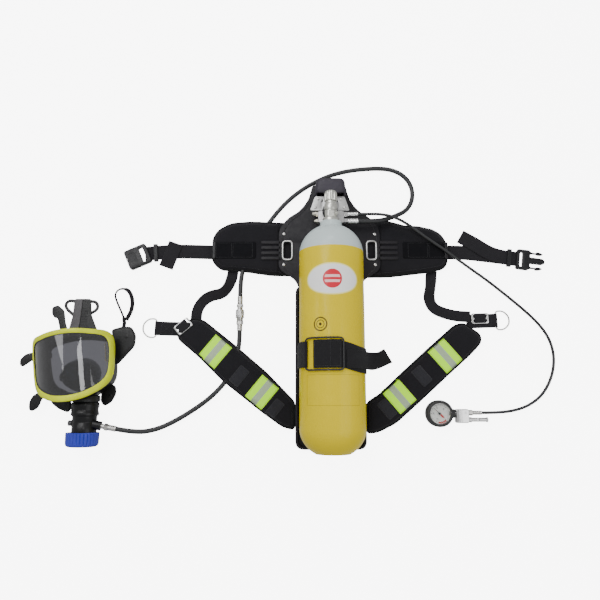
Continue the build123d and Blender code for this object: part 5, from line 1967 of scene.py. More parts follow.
        line = [(4.8, 0.0), (14.2, 0.0), (15.4, 0.4),
                (15.9, 1.6)] + [(15.9, 1.6 + 1.9 * k) for k in range(1, 10)]
        line += [(15.5, 20.8), (14.9, 22.8), (14.0, 24.6), (12.4, 26.1), (10.6, 26.9), (8.6, 27.2),
                 (8.0, 26.4), (7.0, 26.2), (0.3, 26.2), (0.3, 17.4), (4.8, 17.4), (4.8, 0.0)]
        mesh = lathe(line, start, 144, ribs)
        Piece("valve_knob", Finish.VALVE_METAL, "knob_rubber", "knob", ("valve_knob",)).add(mesh, 40)

    def _handwheel(self) -> None:
        """The knurled wheel that couples the reducer to the valve's outlet."""
        place = facing((0, self.outlet_y, 66), (0, 0, 1))

        def notches(radius: float, height: float, angle: float) -> float:
            """Sixteen deep notches round the grip."""
            return radius - (1.9 * max(0.0, math.cos(16 * angle)) ** 1.5 if radius > 17.0 else 0.0)

        line = [(10.3, 0.2), (17.6, 0.2), (18.8, 0.8),
                (19.7, 1.9)] + [(19.9, 2.6 + 1.7 * k) for k in range(6)]
        line += [(19.6, 12.2), (18.8, 13.2), (17.5, 13.8), (14.0, 13.8), (13.4, 13.2), (11.4, 13.2),
                 (10.8, 13.8), (10.3, 13.8), (10.3, 0.2)]
        mesh = lathe(line, place, 160, notches)
        Piece("coupling_handwheel", Finish.BLACK_RUBBER, "knob_rubber", "handwheel",
              ("coupling_handwheel",)).add(mesh, 40)


@dataclass
class CylinderStrap:
    """The strap over the cylinder, its wire frame and loose tail."""

    y: float = -117.5
    width: float = 59.0
    radius: float = 79.6
    axis_z: float = 100.0

    def build(self) -> None:
        """Makes the strap, its stitched sleeve, the frame and the tail."""
        self._strap()
        self._frame()
        self._tail()

    def _round(self, radius: float, degrees: float, y: float) -> Vector:
        """A place round the cylinder: degrees from the +X side, over the top."""
        angle = math.radians(degrees)
        return mm(radius * math.cos(angle), y, self.axis_z + radius * math.sin(angle))

    def _slope(self, x: float) -> float:
        """How far the strap has slid towards the base at a place across the cylinder."""
        share = min(1.0, max(0.0, (x - 6.0) / 70.0))
        return -13.0 * share * share * (3 - 2 * share)

    def _strap(self) -> None:
        """The strap itself, with the doubled sleeve section and its rows of stitches."""
        arch = []
        for k in range(42):
            spot = self._round(self.radius, 3.0 * k, self.y)
            arch.append(spot + mm(0, self._slope(spot.x * 1000), 0))
        bulge = [(13, 0), (30, 1.0), (50, 2.0), (70, 1.4), (86, 0.4)]
        leg = [mm(self.radius, self.y + self._slope(self.radius), z) for z, _ in bulge]
        line = leg + arch
        centre = mm(0, self.y, self.axis_z)
        ups = [Vector((p.x, 0, max(0.0, p.z - centre.z))).normalized() for p in line]
        band = joined([ribbon(line, self.width, 2.5, ups), self._anchored_end(bulge, centre)])
        sleeve_line = [self._round(82.4, a, self.y) for a in [78.5 + 44.5 * k / 22 for k in range(23)]]
        sleeve_line = [self._round(80.2, 77.4, self.y)] + sleeve_line + [self._round(80.4, 124.2, self.y)]
        sleeve = ribbon(sleeve_line, 63.5, 2.7, [(p - centre).normalized() for p in sleeve_line])
        rows = []
        for angle in (80.5, 96.0, 121.0):
            row = [self._round(84.0, angle, self.y - 28 + 7 * k) for k in range(9)]
            rows += stitch_row(row, up=(row[4] - centre).normalized())
        for side in (-27.5, 27.5):
            row = [self._round(84.0, a, self.y + side) for a in [81 + 40 * k / 16 for k in range(17)]]
            rows += stitch_row(row, up=Vector((0, 0, 1)))
        mesh = joined([band, sleeve])
        Piece("cylinder_strap", Finish.STRAP_WEB, "strap_web", replaces=("cylinder_strap",)).add(mesh)
        Piece("cylinder_strap_stitches", Finish.THREAD, "strap_web").add(joined(rows))

    def _anchored_end(self, bulge: list[tuple[float, float]], centre: Vector) -> bpy.types.Mesh:
        """The fixed half of the strap, folded round the wire frame's near bar and back on itself.

        Args:
            bulge: heights of the free side run, each with how far it stands off the cylinder.
            centre: a point on the cylinder's axis at the strap.

        Returns:
            The mesh of this half.
        """
        bar = self._round(83.4, 139.9, self.y)
        side = [mm(-self.radius - out, self.y, z) for z, out in bulge]
        side += [self._round(self.radius, 180.0 - 3.0 * k, self.y) for k in range(13)]
        ups = [Vector((p.x, 0, max(0.0, p.z - centre.z))).normalized() for p in side]
        fold = [bar + mm(3.4 * math.cos(a), 0,
                         3.4 * math.sin(a)) for a in [-2.2 + 0.3 * k for k in range(15)]]
        ups += [(bar - p).normalized() for p in fold]
        lap = [self._round(84.6 - 0.25 * k, 147.0 + 2.5 * k, self.y) for k in range(8)]
        ups += [(centre - p).normalized() for p in lap]
        return ribbon(side + fold + lap, self.width, 2.3, ups)

    def _frame(self) -> None:
        """The wire frame that the strap is threaded through, bent to the cylinder."""
        corners = rounded([Vector(c) for c in ((-63.8, -36.2), (21.6, -36.2), (21.6, 36.2), (-63.8, 36.2))],
                          9.0, 8)
        flat = evenly([Vector((c[0], c[1], 0)) for c in corners + corners[:1]], 2.5)[:-1]
        line = []
        for p in flat:
            reach = 83.4
            line.append(mm(p.x, self.y + p.y, self.axis_z + math.sqrt(reach * reach - p.x * p.x)))
        Piece("strap_ring", Finish.BLACK_RUBBER, "ring_steel",
              replaces=("strap_ring",)).add(wire(line, 2.0, True, 14))

    def _tail(self) -> None:
        """The loose end of the strap, leaving the cylinder's side and turning over a little."""
        start = [self._round(82.6, a, -129) for a in (69.5, 64, 58, 52, 46, 40, 36)]
        rest = [mm(*p) for p in ((74, -129, 138), (84, -131, 124), (98, -131, 116), (112, -127, 115),
                                 (130, -118, 121))]
        line = evenly(soften(start + rest, 2, closed=False), 0.004)
        centre = mm(0, -129, self.axis_z)
        ups = []
        for i, p in enumerate(line):
            out = (p - centre).normalized()
            ahead = i / (len(line) - 1)
            lean = Vector((0.1, 0.5 * math.sin(ahead * 5.0), 1.0)).normalized()
            ups.append(out.lerp(lean, max(0.0, (ahead - 0.4) / 0.6)).normalized())
        mesh = ribbon(line, 41.5, 2.5, ups)
        Piece("strap_tail", Finish.STRAP_WEB, "strap_web", replaces=("strap_tail",)).add(mesh)


# ---------------------------------------------------------------- back plate and reducer
@dataclass
class BackPlate:
    """The moulded back plate with its finger bars, slot rims, valve guard and saddles."""

    spine: float = 88.0
    pocket: float = 81.0
    spine_ends: Point = (-340.0, 70.0)
    floor: float = 4.0
    underside: float = 16.0
    top: float = 21.0
    wing: float = 132.0
    slot: Point = (109.0, 162.0)

    def build(self) -> None:
        """Makes the plate and everything fixed to it."""
        self._plate()
        self._rims()
        self._guard()
        self._saddles()
        self._screws()

    def _wing_outline(self) -> list[Vector]:
        """The wings' outline, narrowing in a sweep to the guard's seat.

        Returns:
            The points.
        """
        right = [(78, 58), (88, 84), (132, 112), (132, 218), (110, 249), (76, 270), (56, 298), (49, 318),
                 (44, 342)]
        corners = right + [(-x, y) for x, y in reversed(right)]
        return [mm(p.x, p.y) for p in rounded([Vector(c) for c in corners], 16.0, 7)]

    def _plate(self) -> None:
        """The tray under the cylinder, the wings over it, ribs, pressed lines and finger bars."""
        low, high = self.spine_ends
        middle, length = (low + high) / 2, high - low
        outer = box_outline(2 * self.spine, length, 22, (0, middle))
        inner = box_outline(2 * self.pocket, length - 12, 16, (0, middle))
        tray = [sheet_plate([outer], 0, self.floor, 1.2), sheet_plate([outer, inner], 1, self.top, 1.6)]
        ribs = [sheet_plate([box_outline(2 * self.pocket + 2, 4, 1.5, (0, middle + 70 * k))], 3, 12, 0.8)
                for k in range(-2, 3)]
        slots = [box_outline(16, 41, 7, (side * self.slot[0], self.slot[1])) for side in (-1, 1)]
        wing = sheet_plate([self._wing_outline()] + slots, self.underside, self.top, 1.4)
        bars = []
        for side in (-1, 1):
            bars.append(sheet_plate([box_outline(7, 50, 2, (side * 128, 162))], self.top - 1,
                                    self.top + 2.6, 1.0))
            for k in (-1.5, -0.5, 0.5, 1.5):
                bars.append(sheet_plate([box_outline(50, 8, 3.9, (side * 152, 162 + 14 * k))],
                                        self.top + 0.3, self.top + 2.6, 1.0))
        raised = []
        for side in (-1, 1):
            edge = [Vector((side * x, y, 0)) for x,
                    y in ((97, 96), (124, 118), (124, 205), (104, 240), (72, 262), (48, 296))]
            line = evenly(soften(edge, 3, closed=False), 6.0)
            raised.append(wire([mm(p.x, p.y, self.top) for p in line], 1.1, sides=8))
        mesh = joined(tray + ribs + [wing] + bars + raised)
        Piece("back_plate", Finish.PLATE, "plate_plastic", replaces=("back_plate",)).add(mesh, 30)

    def _rims(self) -> None:
        """The bright wire rims round the two slots."""
        rings = []
        for side in (-1, 1):
            outline = box_outline(24.5, 49.5, 9, (side * self.slot[0], self.slot[1]))
            line = evenly([Vector((p.x, p.y, mm(self.top + 1.7))) for p in outline + outline[:1]],
                          0.0018)[:-1]
            rings.append(wire(line, 2.2, True, 16, flat=0.8))
        Piece("slot_rims", Finish.RIM, "rim_chrome", replaces=("slot_rims",)).add(joined(rings))

    def _guard(self) -> None:
        """The rubber hood that guards the valve knob, open towards the cylinder."""
        def ring(width: float, depth: float, corner: float, z: float, swell: float,
                 front: float) -> list[Vector]:
            """One level of the hood, its back rounder than its front.

            Args:
                width: half its size side to side, in millimetres.
                depth: size front to back, in millimetres.
                corner: corner radius, in millimetres.
                z: height, in millimetres.
                swell: how much the back is drawn in.
                front: where its front lies, in millimetres.

            Returns:
                The points.
            """
            outline = rounded([Vector(c) for c in ((-width, front), (width, front), (width, front + depth),
                                                   (-width, front + depth))], corner, 7)
            return [mm(2 + 1.08 * p.x * (1 - 0.12 * swell * max(0.0, (p.y - front) / depth)), p.y,
                       z) for p in outline]

        outside = [(38, 41.8, 9, 21.2, 0.6), (38, 41.8, 9, 40, 0.7), (37.6, 41.6, 10, 58, 0.8),
                   (36.8, 41, 12, 66, 0.9), (35, 39.6, 13, 71, 1.0), (31.5, 37, 13, 74, 1.0),
                   (26, 32, 12, 75, 1.0), (10, 14, 6, 75, 1.0)]
        skin = loft([ring(w, d, c, z, s, 300.2) for w, d, c, z, s in outside])
        work = bmesh.new()
        work.from_mesh(skin)
        bmesh.ops.subdivide_edges(work, edges=[e for e in work.edges if e.calc_length() > 0.012], cuts=1)
        work.to_mesh(skin)
        work.free()
        guard = Piece("valve_guard", Finish.GUARD, "guard_rubber", replaces=("valve_guard",))
        hollow = sheet_plate([box_outline(68, 46, 8, (2, 313))], 18.0, 69.0, 4.0)
        guard.add(carved(skin, [hollow]), 40)

    def _saddles(self) -> None:
        """The two rubber saddles that the cylinder lies in."""
        blocks = []
        for y in (-245.0, 30.0):
            rows = []
            for k in range(25):
                x = -58 + 116 * k / 24
                crown = min(37.6, 100.0 - math.sqrt(78.1 ** 2 - x * x))
                rows.append([mm(x, y - 13, self.floor), mm(x, y - 12.6, crown - 0.8),
                             mm(x, y - 11.6, crown), mm(x, y + 11.6, crown), mm(x, y + 12.6, crown - 0.8),
                             mm(x, y + 13, self.floor)])
            blocks.append(loft(rows))
        Piece("cradle_saddles", Finish.BLACK_RUBBER, "guard_rubber",
              replaces=("cradle_saddles",)).add(joined(blocks))

    def _screws(self) -> None:
        """Cross-slotted pan heads on the bracket and the wings."""
        heads = []
        for x, y, z, radius in ((-37, 265, 59, 3.6), (37, 265, 59, 3.6), (-30, 288, 59, 3.6),
                                (30, 288, 59, 3.6), (-118, 124, 21, 4), (118, 124, 21, 4),
                                (-118, 206, 21, 4), (118, 206, 21, 4)):
            place = facing((x, y, z), (0, 0, 1), roll=x * 1.7)
            heads.append(lathe([(0.2, 0.0), (radius, 0.0), (radius, 0.7), (radius * 0.9, 1.5),
                                (radius * 0.6, 2.1), (radius * 0.42, 2.2), (radius * 0.36, 1.4),
                                (0.2, 1.2)], place, 32,
                               lambda r, h, a: r if h < 2.15 or r > 1.9
                                   else r * (0.75 + 0.25 * math.cos(4 * a))))
        Piece("plate_screws", Finish.STEEL, "screw_steel", replaces=("plate_screws",)).add(joined(heads))


@dataclass
class Reducer:
    """The pressure reducer behind the valve: block, bracket, relief valve and hose fittings."""

    port_z: float = 52.0
    thick_y: float = 231.0
    thin_y: float = 250.0

    def build(self) -> None:
        """Makes the reducer's pieces."""
        block = joined([sheet_plate([box_outline(66, 32, 6, (3, 240))], 38, 62, 1.5),
                        sheet_plate([box_outline(50, 30, 6, (0, 268))], 34, 53.9, 1.5),
                        lathe([(0.2, 61), (8.0, 61), (8.0, 65.4), (7.4, 65.9), (0.2, 65.9)],
                              facing((0, self.thin_y, 0), (0, 0, 1)), 40)])
        Piece("reducer_body", Finish.BRACKET_METAL, "reducer_metal", replaces=("reducer_body",)).add(block)
        self._bracket()
        self._relief()
        self._fittings()

    def _bracket(self) -> None:
        """The alloy bracket plate on its four posts, with crescents cut beside the valve."""
        right = [(51, 257), (38, 296)]
        outline = rounded([Vector(c) for c in right + [(-x, y) for x, y in reversed(right)]], 5.0)
        holes = []
        for side in (-1, 1):
            crescent = [(side * x, y) for x,
                        y in ((17.5, 259.5), (21.5, 266), (22.5, 275), (20.5, 284), (17.5, 290),
                                                   (18.6, 275))]
            holes.append([mm(p.x, p.y) for p in soften([Vector(c) for c in crescent], 2)])
        plate = sheet_plate([[mm(p.x, p.y) for p in outline]] + holes, 54, 59, 1.2)
        posts = [lathe([(0.2, 21.1), (5.4, 21.1), (5.0, 22.4), (5.0, 53), (5.6, 54), (0.2, 54)],
                       facing((x, y, 0), (0, 0, 1)), 32) for x,
                       y in ((-37, 265), (37, 265), (-30, 288), (30, 288))]
        Piece("reducer_bracket", Finish.BRACKET_METAL, "plate_plastic", replaces=("reducer_bracket",)).add(
            joined([plate] + posts))

    def _relief(self) -> None:
        """The relief valve with its vent ring, and the blanking plug beside it."""
        hexagon = Hoses()._hex
        valve = facing((-30, self.thin_y, self.port_z), (-1, 0, 0))
        plug = facing((-30, self.thick_y, self.port_z), (-1, 0, 0))
        mesh = joined([
            hexagon(7.4, 0, 5, valve),
            lathe([(0.2, 4.9), (5.4, 5), (6.0, 5.6), (6.0, 8.4), (5.3, 8.9), (5.3, 9.8), (6.0, 10.3),
                   (6.0, 11.6), (5.4, 12), (4.0, 12), (4.0, 14.2), (3.4, 14.9), (0.2, 15)], valve, 40),
            hexagon(6.9, 0, 6, plug),
            lathe([(0.2, 5.9), (4.0, 6), (4.0, 9.2), (3.4, 9.9), (1.9, 9.9), (1.7, 8.6), (0.2, 8.6)], plug,
                  32)])
        Piece("relief_valve", Finish.BRASS, "small_brass", replaces=("relief_valve",)).add(mesh, 40)

    def _fittings(self) -> None:
        """The two plated fittings that the hoses are swaged into."""
        hoses = Hoses()
        thin = facing((36, self.thin_y, self.port_z), (1, 0, 0))
        thick = facing((36, self.thick_y, self.port_z), (1, 0, 0))
        mesh = joined([hoses._hex(6.9, 0, 10, thin), hoses._crimp(10, 36, 5.2, thin),
                       hoses._hex(8.9, 0, 10, thick), hoses._crimp(10, 36, 7.4, thick)])
        Piece("reducer_fittings", Finish.CHROME, "fitting_chrome", replaces=("reducer_fittings",)).add(mesh,
                40)


# ---------------------------------------------------------------- pressure gauge and whistle
@dataclass
class PressureGauge:
    """The booted pressure gauge with its block and warning whistle."""

    centre: Point = (268.0, -253.0)
    dial_z: float = 21.4
    block: Point = (308.3, 340.0)
    whistle_y: float = -268.0
    line_z: float = 16.0

    def build(self) -> None:
        """Makes the gauge, its needle and the whistle."""
        place = facing((*self.centre, 0), (0, 0, 1))
        boot = lathe([(27.2, 4), (27.2, 29.4), (25.2, 29.6), (25.2, 31.4), (26.2, 32.2), (29.5, 32.2),
                      (31.6, 31.2), (32.6, 29), (32.9, 24), (32.2, 22.6), (32.2, 10), (32.9, 8.6),
                      (32.6, 4), (31.4, 1.2), (29, 0.3), (2, 0.3), (2, 4), (27.2, 4)], place, 96,
                     lambda r, h, a: r - (0.5 * (0.5 - 0.5 * math.cos(36 * a))
                         if r > 31.9 and 9 < h < 23 else 0.0))
        neck = lathe([(5.8, 24), (11, 24), (11, 36), (10.2, 38.6), (5.8, 38.6), (5.8, 24)],
                     facing((*self.centre, self.line_z), (1, 0, 0)), 40)
        Piece("gauge_boot", Finish.BLACK_RUBBER, "gauge_rubber",
              replaces=("gauge_boot",)).add(joined([boot, neck]))
        case = lathe([(0.2, 4.3), (26.8, 4.3), (27, 5), (27, 28.6), (26.4, 29), (25.2, 29), (24.8, 28.4),
                      (24.8, 20.2), (0.2, 20.2)], place, 96)
        Piece("gauge_case", Finish.CHROME, "gauge_metal", replaces=("gauge_case",)).add(case)
        self._dial()
        self._needle()
        lens = lathe([(0.2, 26.7), (24.6, 26.7), (24.6, 28.0), (22, 28.3), (12, 28.6), (0.2, 28.7)], place,
                     72)
        Piece("gauge_lens", Finish.LENS, "clear_lens", replaces=("gauge_lens",)).add(lens)
        self._block()
        self._whistle()

    def _at(self, radius: float, degrees: float, rise: float = 0.0) -> Matrix:
        """Placement on the dial, its local +X pointing outwards.

        Args:
            radius: distance from the dial's middle, in millimetres.
            degrees: direction round the axis.
            rise: height along the axis.

        Returns:
            The placing.
        """
        angle = math.radians(degrees)
        return level_turn(self.centre[0] + radius * math.cos(angle),
                          self.centre[1] + radius * math.sin(angle), self.dial_z + rise, degrees)

    def _dial(self) -> None:
        """The white dial with ticks, figures and a red low range; zero lies towards the hose."""
        place = facing((*self.centre, 0), (0, 0, 1))
        face = lathe([(1.5, 20.3), (24.4, 20.3), (24.4, 21.4), (1.5, 21.4), (1.5, 20.3)], place, 72)
        Piece("gauge_dial", Finish.DIAL, "dial_face", replaces=("gauge_dial",)).add(face)
        ticks = []
        for k in range(41):
            size = 4.2 if k % 10 == 0 else 3.2 if k % 5 == 0 else 1.8
            ticks.append(sheet_plate([box_outline(size, 0.55 if k % 5 else 0.9, 0.15)], 0, 0.14, 0.05,
                                     self._at(22.4 - size / 2, -45 - 270 * k / 40), steps=1))
        for k in range(5):
            text = bpy.data.curves.new("figure", "FONT")
            text.body = str(10 * k)
            text.size = 0.0052
            text.align_x = text.align_y = "CENTER"
            text.extrude = 0.00007
            holder = bpy.data.objects.new("figure", text)
            angle = -45 - 270 * k / 4
            spot = self._at(14.6, angle, 0.07) @ Matrix.Rotation(math.radians(90 - angle), 4, "Z")
            ticks.append(placed(bpy.data.meshes.new_from_object(holder), spot))
            bpy.data.objects.remove(holder)
        Piece("gauge_dial_marks", Finish.DIAL_INK, "dial_face").add(joined(ticks))
        low = [math.radians(-45 - 3 * k) for k in range(19)]
        arc = [mm(23.9 * math.cos(t), 23.9 * math.sin(t)) for t in low]
        arc += [mm(20.2 * math.cos(t), 20.2 * math.sin(t)) for t in reversed(low)]
        red = sheet_plate([arc], 0, 0.12, 0.04, level_turn(*self.centre, self.dial_z, 0), steps=1)
        Piece("gauge_low_range", Finish.DIAL_RED, "needle_red").add(red)

    def _needle(self) -> None:
        """The red needle on its spindle."""
        place = level_turn(*self.centre, 23.0, 135)
        blade = [(-8, 1.5), (-8, -1.5), (-3, -0.8), (19, -0.4), (19, 0.4), (-3, 0.8)]
        tail = [(-3, -1.9), (-3, 1.9), (-11, 2.3), (-15, 0.6), (-15, -0.6), (-11, -2.3)]
        Piece("needle_tail", Finish.DIAL_RED, "needle_red", "needle").add(
            placed(sheet_plate([[mm(*p) for p in tail]], 0.2, 0.95, 0.15), place))
        parts = [sheet_plate([[mm(*p) for p in blade]], 0.1, 0.8, 0.15),
                 lathe([(0.2, 0), (3.1, 0), (3.1, 0.9), (2.2, 1.3), (0.2, 1.3)], Matrix.Identity(4), 32),
                 lathe([(0.2, -2.2), (1, -2.2), (1, 0.1), (0.2, 0.1)], Matrix.Identity(4), 20)]
        Piece("gauge_needle", Finish.NEEDLE, "needle_red", "needle", ("gauge_needle",)).add(
            placed(joined(parts), place))

    def _block(self) -> None:
        """The block that carries the hose and the whistle."""
        start, end = self.block
        middle = ((start + end) / 2, -259.0)
        body = sheet_plate([box_outline(end - start, 34, 5, middle)], 6, 26, 2.2, steps=5)
        grooves = [sheet_plate([box_outline(1.6, 40, 0.6, (x, middle[1]))], 25.2, 30, 0.2)
                   for x in (start + 9, start + 13)]
        nub = lathe([(0.2, 27.3), (5.3, 27.3), (5.3, 41), (0.2, 41)],
                    facing((*self.centre, self.line_z), (1, 0, 0)), 32)
        screw = lathe([(0.2, 25.8), (3.0, 25.8), (3.0, 26.6), (2.6, 26.9), (1.4, 26.9), (1.4, 26.2),
                       (0.2, 26.2)],
                      facing((end - 8, -251, 0), (0, 0, 1)), 6)
        Piece("whistle_block", Finish.CHROME, "fitting_chrome", replaces=("whistle_block",)).add(
            joined([carved(body, grooves), nub, screw]))

    def _whistle(self) -> None:
        """The plated whistle with its window and lipped end."""
        place = facing((self.block[1], self.whistle_y, self.line_z), (1, 0, 0))
        body = lathe([(0.2, 0), (6.4, 0), (6.4, 7.4), (5.9, 8), (5.0, 8.3), (5.0, 43.6), (5.9, 44.2),
                      (6.0, 45), (6.0, 47.4), (5.4, 48), (3.4, 48), (3.4, 30), (0.2, 30)], place, 48)
        window = sheet_plate([box_outline(5, 7, 0.6, (self.block[1] + 24, self.whistle_y))], 16, 24, 0.2)
        Piece("whistle", Finish.CHROME, "fitting_chrome", replaces=("whistle",)).add(carved(body, [window]))


# ---------------------------------------------------------------- face mask
@dataclass
class FaceMask:
    """The full face mask: yellow frame, smoked visor, rubber body, nose cup and harness."""

    centre: Point = (-628.0, -138.0)
    tilt: float = 7.0
    bend: float = 115.0
    bend_z: float = 1.0
    frame_line: Sequence[float] = (-86, 88, -48, 98, 10, 95, 72)
    window_line: Sequence[float] = (-71, 80, -38, 90, 8, 87, 60)

    def build(self) -> None:
        """Makes the mask's pieces."""
        self.place = level_turn(*self.centre, 0, self.tilt)
        self._frame()
        self._lens()
        self._body()
        self._nose_cup()
        self._lugs()
        self._harness()
        self._loops()

    def _outline(self, sizes: Sequence[float], count: int = 160, grow: float = 0.0) -> list[Vector]:
        """The visor's outline in millimetres, evenly spaced from its lowest point.

        Args:
            sizes: bottom, then the x and y of the low, middle and top side points.
            count: how many points to give.
            grow: how far outside the outline to lie.

        Returns:
            The 2-D points.
        """
        bottom, low_x, low_y, mid_x, mid_y, top_x, top_y = sizes
        right = [(0, bottom), (0.55 * low_x, bottom + 0.22 * (low_y - bottom)), (low_x, low_y),
                 (mid_x, mid_y), (top_x, top_y - 4), (0.62 * top_x, top_y + 8), (0, top_y + 13)]
        dense = []
        spots = [Vector(p) for p in right] + [Vector((-x, y)) for x, y in reversed(right[1:-1])]
        closed = spots + spots[:3]
        for i in range(len(spots)):
            before, a, b, after = spots[i - 1], closed[i], closed[i + 1], closed[i + 2]
            for k in range(16):
                t = k / 16
                dense.append(0.5 * ((2 * a) + (b - before) * t
                    + (2 * before - 5 * a + 4 * b - after) * t * t
                                    + (3 * a - before - 3 * b + after) * t ** 3))
        even = evenly(dense + dense[:1],
                      sum((q - p).length for p, q in zip(dense, dense[1:] + dense[:1])) / count)
        line = even[:count]
        if not grow:
            return line
        out = []
        for i, here in enumerate(line):
            run = (line[(i + 1) % count] - line[i - 1]).normalized()
            out.append(here + Vector((run.y, -run.x)) * grow)
        return out

    def _bent(self, spot: Vector, radius: float) -> Vector:
        """A point of the outline brought to a radius of the visor's bend, in metres."""
        reach = max(radius ** 2 - spot.x ** 2, 30.0)
        return mm(spot.x, spot.y, self.bend_z + math.sqrt(reach))

    def _frame(self) -> None:
        """The yellow frame with its rounded face, dark seat line and side clips."""
        outer, inner = self._outline(self.frame_line), self._outline(self.window_line)
        section = [(0.0, 108.9), (0.0, 112.5), (0.06, 114.0), (0.22, 114.9), (0.5, 115.0), (0.78, 114.7),
                   (0.95, 113.6), (1.0, 112.6), (1.0, 108.9)]
        rings = [[self._bent(a.lerp(b, share), radius) for share, radius in section] for a,
                 b in zip(outer, inner)]
        clips = []
        for side in (-1, 1):
            for y in (30, -24):
                tab = sheet_plate([box_outline(7, 17, 2)], 0, 3, 0.8)
                spot = self._bent(Vector((side * 94, y)), 112.5)
                turn = Matrix.Rotation(side * math.radians(55), 4, "Y")
                clips.append(placed(tab,
                                    Matrix.Translation(spot) @ turn @ Matrix.Translation(mm(0, 0, -2.4))))
        mesh = placed(joined([loft(rings, capped=False, looped=True)] + clips), self.place)
        Piece("mask_frame", Finish.FRAME_YELLOW, "mask_frame_plastic", replaces=("mask_frame",)).add(mesh,
                50)
        seat = self._outline(self.window_line, grow=0.4)
        band = [self._bent(p, 112.4) for p in seat]
        Piece("visor_gasket", Finish.BLACK_RUBBER, "mask_rubber").add(
            placed(wire(band, 1.3, closed=True, sides=8), self.place))

    def _lens(self) -> None:
        """The bent, smoked visor."""
        rim = self._outline(self.window_line, 120, grow=0.6)
        middle = Vector((0, -4))
        shares = [1.0, 0.9, 0.78, 0.64, 0.5, 0.36, 0.22, 0.1, 0.03]
        top = [[self._bent(middle.lerp(p, s), 112) for p in rim] for s in shares]
        under = [[self._bent(middle.lerp(p, s), 109) for p in rim] for s in reversed(shares)]
        mesh = placed(loft(top[::-1] + under[::-1]), self.place)
        Piece("mask_lens", Finish.VISOR, "visor_lens", replaces=("mask_lens",)).add(mesh, 40)

    def _body(self) -> None:
        """The rubber body: a skirt with a rolled lip on the face side, and the valve port."""
        top = self._outline((-80, 82, -44, 90, 8, 88, 66), 120)
        face = self._outline((-66, 68, -34, 76, 6, 74, 54), 120)
        rows = []
        for share, radius, drop in ((1.0, 108.4, 0.0), (1.0, 108.4, 0.30), (1.02, 108.4, 0.6),
                                    (1.03, 108.4, 0.85), (1.0, 108.4, 0.97), (0.86, 108.4, 1.0),
                                    (0.4, 108.4, 0.99), (0.0, 108.4, 0.93), (-0.1, 108.4, 0.86),
                                    (0.05, 108.4, 0.80), (0.62, 108.4, 0.74), (0.84, 108.4, 0.5),
                                    (0.84, 108.4, 0.0)):
            ring = []
            for a, b in zip(top, face):
                flat = b.lerp(a, share)
                crown = self._bent(a, radius).z
                ring.append(Vector((mm(flat.x), mm(flat.y), crown * (1 - drop) + mm(1.0) * drop)))
            rows.append(ring)
        skirt = placed(loft(rows, capped=False, looped=True), self.place)
        port = lathe([(22, 0), (33, 0), (33, 13.4), (31.6, 15.0), (26, 16.5), (22, 16.5), (22, 0)],
                     facing((-598, -224, 45), (0, 1, 0)), 64)
        bead = lathe([(32.6, 3.2), (33.6, 4.2), (33.6, 6.2), (32.6, 7.2), (32.6, 3.2)],
                     facing((-598, -224, 45), (0, 1, 0)), 64)
        Piece("mask_body", Finish.MASK_RUBBER, "mask_rubber", replaces=("mask_body",)).add(
            joined([skirt, port, bead]), 55)

    def _nose_cup(self) -> None:
        """The inner half mask with its nose bridge, cheek valves and rolled edge."""
        place = level_turn(-622, -158, 10, self.tilt)
        levels = [(46, 42, 0), (46.5, 42.5, 4), (45, 40, 14), (42.5, 37, 26), (40, 34, 40), (35, 29, 50),
                  (29, 24, 59), (22, 18, 66), (14, 11, 68), (3, 3, 68.4)]
        rings = []
        for width, depth, z in levels:
            ring = []
            for k in range(72):
                angle = math.tau * k / 72
                hollow = 0.10 * max(0.0, math.sin(angle)) ** 6 * (z / 68)
                bridge = 1 - hollow + 0.05 * math.cos(3 * angle) * (z / 68)
                ring.append(mm(width * bridge * math.cos(angle), depth * bridge * math.sin(angle), z))
            rings.append(ring)
        inner = [[Vector((p.x * 0.94, p.y * 0.94,
                          p.z - mm(2.4) if p.z > mm(4) else p.z)) for p in ring] for ring in rings]
        cup = loft(rings[::-1] + inner)
        valves = [lathe([(0.2, 0), (9.5, 0), (9.5, 2.2), (8.4, 3.2), (6.8, 3.2), (6.4, 2.0), (1.6, 2.0),
                         (1.2, 3.0), (0.2, 3.0)], facing((side * 33, -4, 48), (side * 0.72, 0.0, 0.7)),
                         32) for side in (-1, 1)]
        Piece("nose_cup", Finish.NOSE_CUP, "nose_silicone", replaces=("nose_cup",)).add(
            placed(joined([cup] + valves), place), 50)

    def _lugs(self) -> None:
        """The lobes of the face seal, each with a raised rim and a rivet."""
        lobes = []
        for outline, hub in ((((-550, -70), (-556, -44), (-530, -36), (-505, -36), (-492, -58), (-494, -86),
                               (-536, -134), (-552, -120)),
                              (-515, -62)),
                             (((-568, -176), (-537, -184), (-534, -204), (-545, -226), (-563, -236),
                               (-573, -222), (-571, -192)), (-548, -210)),
                             (((-680, -188), (-700, -212), (-694, -228), (-676, -242), (-650, -252),
                               (-643, -236), (-652, -202)), (-674, -222))):
            line = [mm(p.x, p.y) for p in rounded([Vector(c) for c in outline], 8, 6)]
            lobes.append(sheet_plate([line], 10, 18.2, 3.2, steps=5))
            inset = [Vector((p.x * 0.86 + mm(hub[0]) * 0.14, p.y * 0.86 + mm(hub[1]) * 0.14,
                             mm(17.6))) for p in line]
            lobes.append(wire(inset, 1.1, closed=True, sides=8))
            lobes.append(lathe([(0.2, 17.5), (4.6, 17.5), (4.6, 18.5), (3.6, 19), (0.2, 19)],
                               facing((*hub, 0), (0, 0, 1)), 28))
        Piece("mask_lugs", Finish.MASK_RUBBER, "mask_rubber", replaces=("mask_lugs",)).add(joined(lobes))

